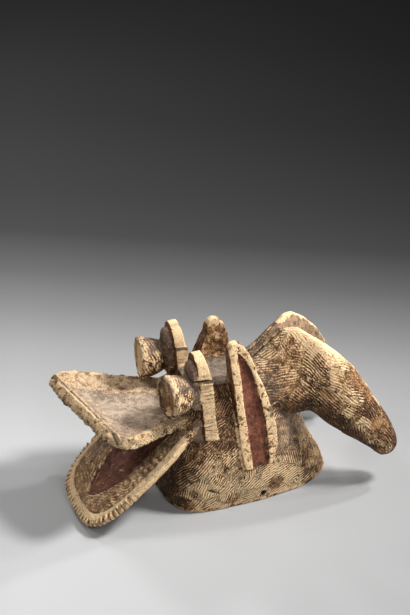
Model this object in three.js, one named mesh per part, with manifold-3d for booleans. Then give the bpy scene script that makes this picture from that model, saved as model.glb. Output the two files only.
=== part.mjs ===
// Horned animal helmet mask, carved from one block of wood.
//
// One carving, so one solid: a hollow bell-shaped helmet with an open underside, gaping jaws in
// front, eyes on stalks before standing brow plates, upright grooved ears, and two horns that
// fork from a ridge on the crown and droop behind.
//
// Millimetres, +Z up. The mask looks along -Y, and its left side is +X. While it is carved, the
// frame's zero is the middle of the helmet's rim on the ground. The finished group is shifted so
// that its zero is the middle of the underside of the whole mask's box.

import * as THREE from 'three';
import { ParametricGeometry } from 'three/addons/geometries/ParametricGeometry.js';
import { mergeVertices } from 'three/addons/utils/BufferGeometryUtils.js';
import Module from 'manifold-3d';

const wasm = await Module();
wasm.setup();

// Helmet. Each row is one height of the bell: its half width, how far its plan runs forward and
// back from the widest line, and how square the back of its plan is.
const HELMET_WIDEST_Y = -60;
const HELMET_FRONT_POWER = 3;
const HELMET_ROWS = [
  { z: 0, half: 82, front: 64, back: 179, square: 2.5 },
  { z: 22, half: 84, front: 64, back: 172, square: 2.5 },
  { z: 50, half: 83, front: 58, back: 156, square: 2.4 },
  { z: 80, half: 79, front: 52, back: 142, square: 2.4 },
  { z: 106, half: 71.5, front: 47, back: 133, square: 2.6 },
  { z: 130, half: 60, front: 41, back: 131, square: 2.8 },
  { z: 150, half: 49, front: 35, back: 118, square: 2.8 },
  { z: 167, half: 40, front: 26, back: 90, square: 2.8 },
];
const HELMET_LEVELS = [0, 11, 22, 36, 50, 65, 80, 94, 106, 118, 130, 141, 150, 159, 167];
const HELMET_TOP = { y: -30, z: 168 };
const HELMET_WALL = 14;
const CROWN_WALL = 22;
const HOLLOW_LEVELS = [-5, 22, 44, 66, 86, 104, 119, 131, 140];

// Lower jaw, a scoop that slopes down and forward. Its own frame has x across, v down the slope
// from the corners of the mouth, and h square to the slope. Its section runs from the middle of
// the belly out to the rim: how far each line is drawn in from the outline, and its height.
const MOUTH_CORNER = { y: -105, z: 117 };
const LOWER_SLOPE = THREE.MathUtils.degToRad(37.2);
const LOWER_JAW = {
  half: 86,
  root: 76,
  widens: [-40, 60],
  middle: 70,
  tip: 181,
  back: 70,
  power: 3.3,
  belly: { v: 55, h: -26 },
  skew: 0.09,
};
const LOWER_SECTION = [
  { inset: 58, h: -25 },
  { inset: 30, h: -21 },
  { inset: 12, h: -16 },
  { inset: 3, h: -9.5 },
  { inset: 0, h: -4.75 },
  { inset: 2, h: 0 },
  { inset: 14, h: 0 },
  { inset: 18, h: -2 },
];
const MOUTH_FLOOR = { half: 35, middle: 90, tip: 154, power: 1.6, throat: 6, edge: 5, deep: 9 };

// Upper jaw, a wide bill that rises a little towards its square front. The carver cut the front
// at a slant, so that its right corner hooks further forward and up than its left. Its section
// runs from the middle of the palate out round the edge and in over the dished top: how far each
// line is drawn in at the sides and at the front, and its height.
const UPPER_JAW = {
  frontY: -231,
  middleY: -170,
  rootY: -70,
  opensY: -95,
  half: 100,
  waist: 60,
  power: 4.5,
  rootZ: 136,
  rise: 0.1,
  roll: 0.03,
  palate: -16,
  dish: -9,
  slant: 0.2,
  hook: 9,
  lift: 5,
};
const UPPER_SECTION = [
  { inset: 60, front: 40, h: -16 },
  { inset: 30, front: 30, h: -18 },
  { inset: 8, front: 8, h: -19 },
  { inset: 0, front: 0, h: -15 },
  { inset: 0, front: 3, h: -7 },
  { inset: 2, front: 9, h: 0 },
  { inset: 6, front: 13, h: -0.5 },
  { inset: 11, front: 17, h: -2.5 },
  { inset: 32, front: 32, h: -7 },
  { inset: 58, front: 45, h: -9 },
];

// Teeth, cut as notches along both rims. Each notch is a gap wide, and runs across and down.
const TOOTH_PITCH = 9;
const LOWER_NOTCH = { gap: 3.2, across: 18, down: 9, fromY: -190 };
const UPPER_NOTCH = { gap: 3.2, across: 9, down: 12, fromY: -212, fromX: -80, toX: 90 };

// Eyes, stalks that flare to a blunt end with a raised edge round a slightly sunk middle.
const EYE = {
  x: 53, y: -90, z: 171, long: 38, end: 29, root: 22, neck: 19, edge: 5, sunk: 3, splay: 6,
};

// Brow plates behind the eyes, with a smaller lobe in front of each.
const PLATE = {
  x: 47, y: -79, low: 100, step: 192, stepIn: 2.5, top: 224, half: 24.5, thick: 18, thin: 13,
  lean: 4.7,
};
const LOBE = { x: 49, half: 19, round: 23, low: 150, top: 213, thick: 13, ahead: 15 };

// Ears, half leaves that lean in against the helmet's sides, with a groove down the outer face.
const EAR = {
  low: 57,
  lowX: 88,
  tilt: THREE.MathUtils.degToRad(14.8),
  long: 173,
  frontY: -37,
  thick: { low: 38, crown: 28, top: 11 },
  crown: 118,
  groove: 4.5,
  bow: { left: 0, right: 17 },
  lean: { left: 0, right: 0.12 },
};

// Horns. Each row is one section of the left horn: its middle, and the reach from there to its
// crest, its outer side, its underside and its inner side.
const HORN_ROWS = [
  { at: [16, -16, 138], crest: [-6, -4, 24], out: [34, 0, 0], under: [0, 4, -30], inn: [-30, 0, 0] },
  { at: [22, 18, 144], crest: [-14, 5, 46], out: [33, 0, -8], under: [8, 4, -40], inn: [-34, 0, 0] },
  { at: [32, 50, 152], crest: [-16, 9, 67], out: [26, 2, -8], under: [13, 0, -44], inn: [-36, 0, 8] },
  { at: [46, 82, 152], crest: [-2, 8, 58], out: [25, 4, -6], under: [4, -8, -42], inn: [-30, 0, 2] },
  { at: [60, 109, 139], crest: [-2, 20, 38], out: [26, 2, -4], under: [2, -22, -39], inn: [-26, 0, 0] },
  { at: [71, 137, 110], crest: [-2, 23, 19], out: [24, 0, 0], under: [2, -29, -27], inn: [-22, 0, 0] },
  { at: [80, 160, 78], crest: [0, 21, 15], out: [20, 0, 0], under: [0, -20, -15], inn: [-18, 0, 0] },
  { at: [85, 176, 52], crest: [1, 16, 12], out: [16, 0, 0], under: [0, -13, -9], inn: [-14, 0, 0] },
];
const HORN_TIP = [87, 183, 42];
const HORN_SECTIONS = 12;
const TIP_SECTIONS = 3;

// Cord holes through the helmet's wall.
const CORD_HOLE = { radius: 3, long: 40, x: 78, y: 0, z: 12 };

// Sides of each round form.
const AROUND = {
  helmet: 52, hollow: 40, lowerJaw: 64, upperJaw: 60, eye: 24, plate: 14, lobe: 12, ear: 8, horn: 26,
  hole: 12,
};

const WOOD = new THREE.MeshStandardMaterial({ color: '#b18c6a', roughness: 0.85, metalness: 0 });

// Turns a closed geometry into a solid whose faces point outwards.
function solidOf(geometry) {
  const bare = geometry.clone();
  bare.deleteAttribute('normal');
  bare.deleteAttribute('uv');
  const merged = mergeVertices(bare, 1e-3);
  const points = merged.attributes.position.array;
  const corners = merged.index.array;
  const faces = [];
  for (let i = 0; i < corners.length; i += 3) {
    const [a, b, c] = [corners[i], corners[i + 1], corners[i + 2]];
    if (a !== b && b !== c && c !== a) faces.push([a, b, c]);
  }
  const at = (i) => new THREE.Vector3().fromArray(points, 3 * i);
  const volume = faces.reduce((sum, [a, b, c]) => sum + at(a).dot(at(b).cross(at(c))), 0);
  const outward = volume > 0 ? faces : faces.map(([a, b, c]) => [a, c, b]);
  return new wasm.Manifold(new wasm.Mesh({
    numProp: 3,
    vertProperties: new Float32Array(points),
    triVerts: new Uint32Array(outward.flat()),
  }));
}

// Turns a solid back into a geometry.
function geometryOf(solid) {
  const mesh = solid.getMesh();
  const geometry = new THREE.BufferGeometry();
  geometry.setAttribute('position', new THREE.BufferAttribute(mesh.vertProperties, 3));
  geometry.setIndex(new THREE.BufferAttribute(mesh.triVerts, 1));
  return geometry;
}

// A closed skin through rings of points. Each ring is a function of the share of a turn, and
// the first and last rings are single points.
function skin(rings, around) {
  const last = rings.length - 1;
  return new ParametricGeometry(
    (u, v, point) => point.copy(rings[Math.round(v * last)](u)),
    around,
    last,
  );
}

const point = (x, y, z) => () => new THREE.Vector3(x, y, z);

// A power curve's reach: the sign is kept and the size is bent.
const bent = (value, power) => Math.sign(value) * Math.abs(value) ** (2 / power);

// The value of a named size at a place along rows that are sorted by that place.
function between(rows, key, place, name) {
  const next = rows.findIndex((row) => row[key] >= place);
  if (next <= 0) return rows[next < 0 ? rows.length - 1 : 0][name];
  const [a, b] = [rows[next - 1], rows[next]];
  return THREE.MathUtils.mapLinear(place, a[key], b[key], a[name], b[name]);
}

// One level of the helmet's bell, drawn in from the outer face by a wall.
function helmetRing(z, rowZ, wall) {
  const size = (name) => between(HELMET_ROWS, 'z', rowZ, name);
  return (u) => {
    const turn = 2 * Math.PI * u;
    const ahead = Math.cos(turn) < 0;
    const power = ahead ? HELMET_FRONT_POWER : size('square');
    const reach = (ahead ? size('front') : size('back')) - wall;
    return new THREE.Vector3(
      (size('half') - wall) * bent(Math.sin(turn), power),
      HELMET_WIDEST_Y + reach * bent(Math.cos(turn), power),
      z,
    );
  };
}

function helmet() {
  return skin([
    point(0, 0, HELMET_LEVELS[0]),
    ...HELMET_LEVELS.map((z) => helmetRing(z, z, 0)),
    point(0, HELMET_TOP.y, HELMET_TOP.z),
  ], AROUND.helmet);
}

// The inside of the helmet, open below.
function hollow() {
  const top = HELMET_TOP.z - CROWN_WALL;
  const outside = (z) => Math.max(z, 0) * HELMET_TOP.z / top;
  return skin([
    point(0, 0, HOLLOW_LEVELS[0]),
    ...HOLLOW_LEVELS.map((z) => helmetRing(z, outside(z), HELMET_WALL)),
    point(0, HELMET_TOP.y, top),
  ], AROUND.hollow);
}

// A place in the lower jaw's sloping frame.
function onLowerJaw(x, v, h) {
  const [sin, cos] = [Math.sin(LOWER_SLOPE), Math.cos(LOWER_SLOPE)];
  return new THREE.Vector3(
    x + v * LOWER_JAW.skew,
    MOUTH_CORNER.y - v * cos - h * sin,
    MOUTH_CORNER.z - v * sin + h * cos,
  );
}

// A ring of the lower jaw: its outline drawn in by inset, at height h.
function lowerRing(inset, h) {
  const jaw = LOWER_JAW;
  return (u) => {
    const turn = 2 * Math.PI * u;
    const forward = Math.cos(turn) > 0;
    const reach = (forward ? jaw.tip - jaw.middle : jaw.back + jaw.middle) - inset;
    const v = jaw.middle + reach * bent(Math.cos(turn), jaw.power);
    const wide = THREE.MathUtils.smoothstep(v, ...jaw.widens);
    const half = THREE.MathUtils.lerp(jaw.root, jaw.half, wide) - inset;
    return onLowerJaw(half * bent(Math.sin(turn), jaw.power), v, h);
  };
}

// The outline of the mouth's floor, a pointed arch that runs back to the throat.
function floorRing(inset, h) {
  const floor = MOUTH_FLOOR;
  return (u) => {
    const turn = 2 * Math.PI * u;
    const forward = Math.cos(turn) > 0;
    const reach = (forward ? floor.tip - floor.middle : LOWER_JAW.back + floor.middle) - inset;
    const power = forward ? floor.power : floor.throat;
    return onLowerJaw(
      (floor.half - inset) * bent(Math.sin(turn), power),
      floor.middle + reach * bent(Math.cos(turn), power),
      h,
    );
  };
}

function lowerJaw() {
  const { belly } = LOWER_JAW;
  const { middle, edge, deep } = MOUTH_FLOOR;
  return skin([
    () => onLowerJaw(0, belly.v, belly.h),
    ...LOWER_SECTION.map(({ inset, h }) => lowerRing(inset, h)),
    floorRing(0, -edge),
    floorRing(1.5, -deep),
    () => onLowerJaw(0, middle, -deep - 1),
  ], AROUND.lowerJaw);
}

// A ring of the upper jaw: a bill with a waist, drawn in by inset at the sides and by front at
// the front, at height h above the level of its rim.
function upperRing({ inset, front, h }) {
  const jaw = UPPER_JAW;
  return (u) => {
    const turn = 2 * Math.PI * u;
    const forward = Math.cos(turn) > 0;
    const reach = forward ? jaw.middleY - jaw.frontY - front : jaw.rootY - jaw.middleY - inset;
    const y = jaw.middleY - reach * bent(Math.cos(turn), jaw.power);
    const open = THREE.MathUtils.smoothstep(-y, -jaw.opensY, -jaw.frontY);
    const half = THREE.MathUtils.lerp(jaw.waist, jaw.half, open) - inset;
    const x = half * bent(Math.sin(turn), jaw.power);
    const corner = open * Math.max(0, -x / jaw.half) ** 2;
    return new THREE.Vector3(
      x,
      y + jaw.slant * x * open - jaw.hook * corner,
      jaw.rootZ - jaw.rise * (y - MOUTH_CORNER.y) - jaw.roll * x + jaw.lift * corner + h,
    );
  };
}

// The middle of the upper jaw at height h.
function upperCentre(h) {
  const { middleY, rootZ, rise } = UPPER_JAW;
  return point(0, middleY, rootZ - rise * (middleY - MOUTH_CORNER.y) + h);
}

function upperJaw() {
  return skin([
    upperCentre(UPPER_JAW.palate),
    ...UPPER_SECTION.map(upperRing),
    upperCentre(UPPER_JAW.dish),
  ], AROUND.upperJaw);
}

// One eye: a lathe-turned stalk along its own axis, set to look forward and a little outward.
function eye(side) {
  const { long, end, root, neck, edge, sunk } = EYE;
  const profile = [
    [0, -8], [neck, -8], [neck, 6], [root, 9], [(root + end) / 2, long / 2], [end, long - 2],
    [end - 1, long], [end - edge, long], [end - edge - 2, long - sunk], [end / 3, long - 2],
    [0, long - 1],
  ].map(([r, s]) => new THREE.Vector2(r, s));
  const stalk = new THREE.LatheGeometry(profile, AROUND.eye);
  stalk.rotateX(Math.PI);
  stalk.rotateZ(side * THREE.MathUtils.degToRad(EYE.splay));
  stalk.translate(side * EYE.x, EYE.y, EYE.z);
  return stalk;
}

// A flat slab of the given thickness whose front face is an outline in x and z. It stands
// upright, behind y = 0.
function slab(shape, thick, curveSegments) {
  const geometry = new THREE.ExtrudeGeometry(shape, {
    depth: thick, bevelEnabled: false, curveSegments,
  });
  geometry.rotateX(Math.PI / 2);
  return geometry;
}

// A brow plate: a square-shouldered slab with a round top that steps in a little and thins from
// behind towards its top.
function plate(side) {
  const { half, low, step, stepIn, top, thick, thin } = PLATE;
  const shape = new THREE.Shape();
  shape.moveTo(-half, low);
  shape.lineTo(half, low);
  shape.lineTo(half, step);
  shape.lineTo(half - stepIn, step);
  shape.absellipse(0, step + 1, half - stepIn, top - step - 1, 0, Math.PI, false);
  shape.lineTo(-half + stepIn, step);
  shape.lineTo(-half, step);
  const geometry = slab(shape, thick, AROUND.plate);
  geometry.translate(0, thick / 2, 0);
  const places = geometry.attributes.position;
  for (let i = 0; i < places.count; i += 1) {
    const rise = Math.max(0, places.getZ(i) - step) / (top - step);
    if (places.getY(i) > 0) places.setY(i, thick / 2 - (thick - thin) * rise);
  }
  geometry.translate(0, 0, -low);
  geometry.rotateX(THREE.MathUtils.degToRad(PLATE.lean));
  return geometry.translate(side * PLATE.x, PLATE.y + thick / 2, low);
}

// The smaller lobe between a brow plate and its eye.
function lobe(side) {
  const { half, round, low, top, thick, ahead } = LOBE;
  const shape = new THREE.Shape();
  shape.moveTo(-half, low);
  shape.lineTo(half, low);
  shape.absellipse(0, top - round, half, round, 0, Math.PI, false);
  const geometry = slab(shape, thick, AROUND.lobe);
  return geometry.translate(side * LOBE.x, PLATE.y - ahead + thick, 0);
}

// An ear's outline in its own face, y to the back and s up the slope. The right ear's front
// edge bows forward, and the left one's is straight.
function earShape(side) {
  const { long, frontY } = EAR;
  const bow = side > 0 ? EAR.bow.left : EAR.bow.right;
  const shape = new THREE.Shape();
  shape.moveTo(frontY + 10, 0);
  shape.quadraticCurveTo(frontY + 5 - bow / 6, 12, frontY + 4 - bow / 4, long * 0.28);
  shape.quadraticCurveTo(frontY + 4 - bow, long * 0.6, frontY, long * 0.88);
  shape.quadraticCurveTo(frontY - 3, long, frontY + 10, long);
  shape.quadraticCurveTo(frontY + 23, long, frontY + 34, long * 0.8);
  shape.bezierCurveTo(frontY + 52, long * 0.5, frontY + 58, long * 0.34, frontY + 57, long * 0.2);
  shape.quadraticCurveTo(frontY + 55, 8, frontY + 44, 0);
  shape.closePath();
  return shape;
}

// The outline of the groove in an ear's outer face, narrow at the top and open below.
function grooveShape() {
  const { long, frontY } = EAR;
  const shape = new THREE.Shape();
  shape.moveTo(frontY + 20, -2);
  shape.lineTo(frontY + 15, long * 0.45);
  shape.lineTo(frontY + 13.5, long * 0.74);
  shape.lineTo(frontY + 11, long * 0.93);
  shape.quadraticCurveTo(frontY + 31, long * 0.8, frontY + 35, long * 0.6);
  shape.quadraticCurveTo(frontY + 46, long * 0.33, frontY + 42, -2);
  shape.closePath();
  return shape;
}

// A block behind an outline in the plane of an ear's outer face. The depths of its two faces
// below that plane are functions of the place up the slope.
function earBlock(side, shape, faces) {
  const { low, lowX, long, tilt } = EAR;
  const lean = side > 0 ? EAR.lean.left : EAR.lean.right;
  const geometry = new THREE.ExtrudeGeometry(shape, {
    depth: 1, bevelEnabled: false, curveSegments: AROUND.ear,
  });
  const places = geometry.attributes.position;
  for (let i = 0; i < places.count; i += 1) {
    const [y, s, share] = [places.getX(i), places.getY(i), places.getZ(i)];
    const deep = THREE.MathUtils.lerp(faces[0](s), faces[1](s), share);
    const forward = lean * (long - s);
    places.setXYZ(i, side * (lowX - s * Math.sin(tilt) - deep), y - forward, low + s * Math.cos(tilt));
  }
  return geometry;
}

// An ear, a wedge that thins towards its top.
function ear(side) {
  const { long, crown, thick } = EAR;
  const through = (s) => (s < crown
    ? THREE.MathUtils.mapLinear(s, 0, crown, thick.low, thick.crown)
    : THREE.MathUtils.mapLinear(s, crown, long, thick.crown, thick.top));
  return earBlock(side, earShape(side), [() => 0, through]);
}

// What is cut from an ear's outer face to leave its groove.
function earGroove(side) {
  return earBlock(side, grooveShape(), [() => -10, () => EAR.groove]);
}

// One horn, a skin through sections that change smoothly along its length, with a round tip.
function horn(side) {
  const curves = {};
  for (const name of ['at', 'crest', 'out', 'under', 'inn']) {
    const places = HORN_ROWS.map((row) => new THREE.Vector3(...row[name]));
    curves[name] = new THREE.CatmullRomCurve3(places, false, 'centripetal');
  }
  const tip = new THREE.Vector3(...HORN_TIP);
  const section = (t, past = 0) => {
    const reach = {};
    for (const name of Object.keys(curves)) reach[name] = curves[name].getPoint(t);
    const size = Math.sqrt(1 - past ** 2);
    return (u) => {
      const [cos, sin] = [Math.cos(2 * Math.PI * u), Math.sin(2 * Math.PI * u)];
      const place = reach.at.clone().lerp(tip, past);
      place.addScaledVector(cos > 0 ? reach.out : reach.inn, size * Math.abs(cos));
      place.addScaledVector(sin > 0 ? reach.crest : reach.under, size * Math.abs(sin));
      place.x *= side;
      return place;
    };
  };
  const root = HORN_ROWS[0].at;
  const rings = [point(side * root[0], root[1], root[2])];
  for (let i = 0; i <= HORN_SECTIONS; i += 1) rings.push(section(i / HORN_SECTIONS));
  for (let i = 1; i < TIP_SECTIONS; i += 1) {
    rings.push(section(1, Math.sin(i / TIP_SECTIONS * Math.PI / 2)));
  }
  rings.push(point(side * tip.x, tip.y, tip.z));
  return skin(rings, AROUND.horn);
}

// A notch across a rim, a small block whose cuts leave square teeth.
function notch({ gap, across, down }, place, heading) {
  const block = new THREE.BoxGeometry(gap, across, down);
  block.rotateZ(heading);
  return block.translate(place.x, place.y, place.z);
}

// Places along a ring, a pitch apart, over the part of it that wanted accepts.
function spaced(ring, pitch, wanted) {
  const fine = 720;
  const places = [];
  let walked = 0;
  let before = ring(0);
  for (let i = 1; i <= fine; i += 1) {
    const here = ring(i / fine);
    walked += here.distanceTo(before);
    if (walked >= pitch) {
      walked -= pitch;
      if (wanted(here)) places.push({ here, heading: Math.atan2(here.y - before.y, here.x - before.x) });
    }
    before = here;
  }
  return places;
}

function lowerTeeth() {
  const rim = lowerRing(1, -1);
  return spaced(rim, TOOTH_PITCH, (p) => p.y < LOWER_NOTCH.fromY)
    .map(({ here, heading }) => notch(LOWER_NOTCH, here, heading));
}

function upperTeeth() {
  const { fromY, fromX, toX } = UPPER_NOTCH;
  const edge = upperRing({ inset: 0, front: 0, h: UPPER_JAW.palate });
  return spaced(edge, TOOTH_PITCH, (p) => p.y < fromY && p.x > fromX && p.x < toX)
    .map(({ here, heading }) => notch(UPPER_NOTCH, here, heading));
}

function cordHole(side) {
  const { radius, long, x, y, z } = CORD_HOLE;
  const drill = new THREE.CylinderGeometry(radius, radius, long, AROUND.hole);
  drill.rotateZ(Math.PI / 2);
  return drill.translate(side * x, y, z);
}

function carve() {
  const both = (form) => [form(1), form(-1)];
  const added = [
    lowerJaw(), upperJaw(), ...both(eye), ...both(plate), ...both(lobe),
    ...both(ear), ...both(horn),
  ];
  const cut = [
    hollow(), ...lowerTeeth(), ...upperTeeth(), ...both(cordHole),
    ...both(earGroove),
  ];
  let solid = solidOf(helmet());
  for (const geometry of added) solid = solid.add(solidOf(geometry));
  for (const geometry of cut) solid = solid.subtract(solidOf(geometry));
  return solid;
}

const carving = geometryOf(carve());
carving.computeBoundingBox();
const box = carving.boundingBox;

const mask = new THREE.Mesh(carving, WOOD);
mask.name = 'carved_mask';

const group = new THREE.Group();
group.name = 'horned_animal_mask';
group.position.set(-(box.min.x + box.max.x) / 2, -(box.min.y + box.max.y) / 2, -box.min.z);
group.add(mask);

export default group;
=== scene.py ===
"""Looks of a horned animal helmet mask, carved from one block of wood and painted with white clay.

The carving is one piece. Its rough form comes from the frame. Here its mesh gets rounded arrises,
adze dents, rim cuts, grooves, chips and pits, and its material gets the fine strokes of a toothed
scraper, worn kaolin, red ochre, smoke-dark wood and painted shade in its grooves, holes and
undersides.
"""

import logging
import math
from dataclasses import dataclass, field, fields
from enum import Enum

import bmesh
import bpy
import numpy as np
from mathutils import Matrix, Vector, kdtree


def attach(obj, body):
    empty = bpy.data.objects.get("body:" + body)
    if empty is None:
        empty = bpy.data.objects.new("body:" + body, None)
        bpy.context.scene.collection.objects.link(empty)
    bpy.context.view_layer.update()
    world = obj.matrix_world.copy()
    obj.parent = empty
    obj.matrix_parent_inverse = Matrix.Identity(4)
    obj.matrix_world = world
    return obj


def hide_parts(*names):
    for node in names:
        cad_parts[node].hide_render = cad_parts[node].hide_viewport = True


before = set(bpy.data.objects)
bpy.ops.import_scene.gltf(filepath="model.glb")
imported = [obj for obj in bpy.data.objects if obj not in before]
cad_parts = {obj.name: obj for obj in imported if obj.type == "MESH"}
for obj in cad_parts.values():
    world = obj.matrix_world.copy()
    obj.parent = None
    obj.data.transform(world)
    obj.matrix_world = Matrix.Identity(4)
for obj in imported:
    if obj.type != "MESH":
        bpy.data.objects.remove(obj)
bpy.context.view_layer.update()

LOG = logging.getLogger("mask")
NODE = "carved_mask"
MM = 0.001
SEED = 11
LEAST_SHARE = 0.001

# Large odd numbers that scatter the cells of the random fields.
CELL_PRIMES = (73856093, 19349663, 83492791)
SEED_PRIME = 2654435761
MIX_PRIMES = (2246822519, 3266489917)
LOW_BITS = 0xFFFFFFFF
OCTAVE_SEED = 17
ROUGH_SPAN = 1.4

# The carving's own zero is the middle of the helmet's rim, this far behind the rim's front.
ZERO_BEHIND_RIM_FRONT = 124.0

# What each point of the skin carries for its material.
PAINT = ("cover", "tan", "ochre", "grey", "soot", "marks", "count", "cuts")

Array = np.ndarray
Place = tuple[float, float, float]
Spot = tuple[Place, float]
Socket = bpy.types.NodeSocket
Signal = Socket | float

# Strokes run back and up unless a form says otherwise.
BACK_AND_UP = (0.0, 0.75, 0.65)


def step(low: float, high: float, value: Array) -> Array:
    """Smooth rise from 0 at low to 1 at high, or a fall where low is above high.

    Args:
        low: Value at which the result is 0.
        high: Value at which the result is 1.
        value: Numbers to map.

    Returns:
        Numbers from 0 to 1.
    """
    share = np.clip((value - low) / (high - low), 0, 1)
    return share * share * (3 - 2 * share)


def band(low: float, high: float, soft: float, value: Array) -> Array:
    """1 between low and high, falling to 0 over soft outside them."""
    return step(low - soft, low, value) * step(high + soft, high, value)


def noise(points: Array, size: float, seed: int = 0) -> Array:
    """Smooth random field.

    Args:
        points: Places, one row each.
        size: Size of one bump, in the units of the places.
        seed: Which field.

    Returns:
        A number from -1 to 1 for each place.
    """
    scaled = points / size
    cell = np.floor(scaled).astype(np.int64)
    share = scaled - cell
    share = share * share * (3 - 2 * share)
    total = np.zeros(len(points))
    for corner in np.ndindex(2, 2, 2):
        key = cell + np.array(corner)
        mixed = np.bitwise_xor.reduce(key * CELL_PRIMES, axis=1)
        mixed = (mixed + (seed + SEED) * SEED_PRIME) & LOW_BITS
        mixed = ((mixed ^ (mixed >> 15)) * MIX_PRIMES[0]) & LOW_BITS
        mixed = ((mixed ^ (mixed >> 13)) * MIX_PRIMES[1]) & LOW_BITS
        value = (mixed ^ (mixed >> 16)) / LOW_BITS * 2 - 1
        weight = np.prod(np.where(corner, share, 1 - share), axis=1)
        total += value * weight
    return total


def rough(points: Array, size: float, seed: int = 0, octaves: int = 3) -> Array:
    """Random field with finer and finer bumps on it, about -1 to 1."""
    total = np.zeros(len(points))
    for octave in range(octaves):
        total += noise(points, size / 2**octave, seed + OCTAVE_SEED * octave) / 2**octave
    return total / ROUGH_SPAN


def blot(points: Array, centre: Place, size: float, seed: int = 0) -> Array:
    """A ragged spot.

    Args:
        points: Places, one row each.
        centre: The spot's middle.
        size: Its radius.
        seed: Which ragged edge.

    Returns:
        1 in the spot, falling to 0 outside it.
    """
    away = np.linalg.norm(points - np.array(centre), axis=1) / size
    return step(1.15, 0.8, away + 0.35 * rough(points, 0.8 * size, seed))


def gap_to_line(points: Array, line: tuple[Place, ...]) -> Array:
    """Distance of each point from a line through a few places."""
    gap = np.full(len(points), np.inf)
    for start, end in zip(line, line[1:]):
        a, run = np.array(start), np.subtract(end, start)
        share = np.clip((points - a) @ run / (run @ run), 0, 1)
        gap = np.minimum(gap, np.linalg.norm(points - a - np.outer(share, run), axis=1))
    return gap


def nearest(points: Array, line: Array) -> Array:
    """Which of a line's places lies nearest to each point."""
    gaps = np.full(len(points), np.inf)
    index = np.zeros(len(points), int)
    for row, place in enumerate(line):
        gap = ((points - place) ** 2).sum(1)
        closer = gap < gaps
        gaps[closer] = gap[closer]
        index[closer] = row
    return index


@dataclass
class Surface:
    """Points of the carving's skin, in millimetres from the carving's zero, and what they get."""

    points: Array
    normals: Array
    depth: Array = field(init=False)
    cover: Array = field(init=False)
    tan: Array = field(init=False)
    ochre: Array = field(init=False)
    grey: Array = field(init=False)
    # Soot, and painted shade in grooves, holes and undersides.
    soot: Array = field(init=False)
    marks: Array = field(init=False)
    pitch: Array = field(init=False)
    lines: Array = field(init=False)
    count: Array = field(init=False)
    cuts: Array = field(init=False)

    def __post_init__(self) -> None:
        """Starts as even, half worn clay over bare wood."""
        count = len(self.points)
        self.depth = np.zeros(count)
        self.cover = np.full(count, 0.5)
        self.tan = np.full(count, 0.4)
        self.ochre = np.zeros(count)
        self.grey = np.zeros(count)
        self.soot = np.zeros(count)
        self.marks = np.full(count, 0.3)
        self.pitch = np.full(count, 3.0)
        self.lines = np.tile(BACK_AND_UP, (count, 1))
        self.count = np.zeros(count)
        self.cuts = np.zeros(count)

    @property
    def side(self) -> Array:
        """1 on the mask's left half and -1 on its right half."""
        return np.where(self.points[:, 0] >= 0, 1.0, -1.0)

    @property
    def flip(self) -> Array:
        """What lays the right half's vectors over the left half, or back."""
        return np.stack([self.side, *np.ones((2, len(self.points)))], 1)

    @property
    def mirrored(self) -> Array:
        """The points with both halves laid over the left one."""
        return self.points * self.flip

    @property
    def mirrored_normals(self) -> Array:
        """The normals with both halves laid over the left one."""
        return self.normals * self.flip

    def noise(self, size: float, seed: int, squeeze: Place = (1, 1, 1)) -> Array:
        """Smooth random field on the skin, drawn out along each axis that is squeezed."""
        return noise(self.points * np.array(squeeze), size, seed)

    def rough(self, size: float, seed: int, octaves: int = 3) -> Array:
        """Random field with finer and finer bumps on the skin."""
        return rough(self.points, size, seed, octaves)

    def treat(self, forms: tuple["Form", ...], action: str) -> None:
        """Lets each form work on its own points.

        Args:
            forms: The forms, each laid over those before it.
            action: The form's method to call, "cut" or "paint".
        """
        names = [quality.name for quality in fields(self) if not quality.init]
        for form in forms:
            share = form.share(self)
            rows = np.flatnonzero(share > LEAST_SHARE)
            part = Surface(self.points[rows], self.normals[rows])
            for name in names:
                setattr(part, name, getattr(self, name)[rows])
            getattr(form, action)(part, share[rows])
            for name in names:
                getattr(self, name)[rows] = getattr(part, name)

    def coat(self, share: Array, **values: Array | Place | float) -> None:
        """Moves some qualities towards new values.

        Args:
            share: How much of the new values each point takes, from 0 to 1.
            values: The new value of each quality named.
        """
        for name, value in values.items():
            old = getattr(self, name)
            part = share[:, None] if old.ndim == 2 else share
            setattr(self, name, old * (1 - part) + np.asarray(value) * part)


class Form:
    """One form of the carving: where it is, what the carver cut there and how it was painted."""

    def share(self, skin: Surface) -> Array:
        """How much each point belongs to the form, from 0 to 1."""
        raise NotImplementedError

    def cut(self, skin: Surface, share: Array) -> None:
        """Adds the form's fine cuts to the skin's depth."""

    def paint(self, skin: Surface, share: Array) -> None:
        """Sets the form's paint and wear."""


def curve_reach(a: Array, b: Array, power: Array | float) -> Array:
    """Size of a place on a power curve: 1 on the curve, less inside it."""
    return (np.abs(a) ** power + np.abs(b) ** power) ** (1 / power)


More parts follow.
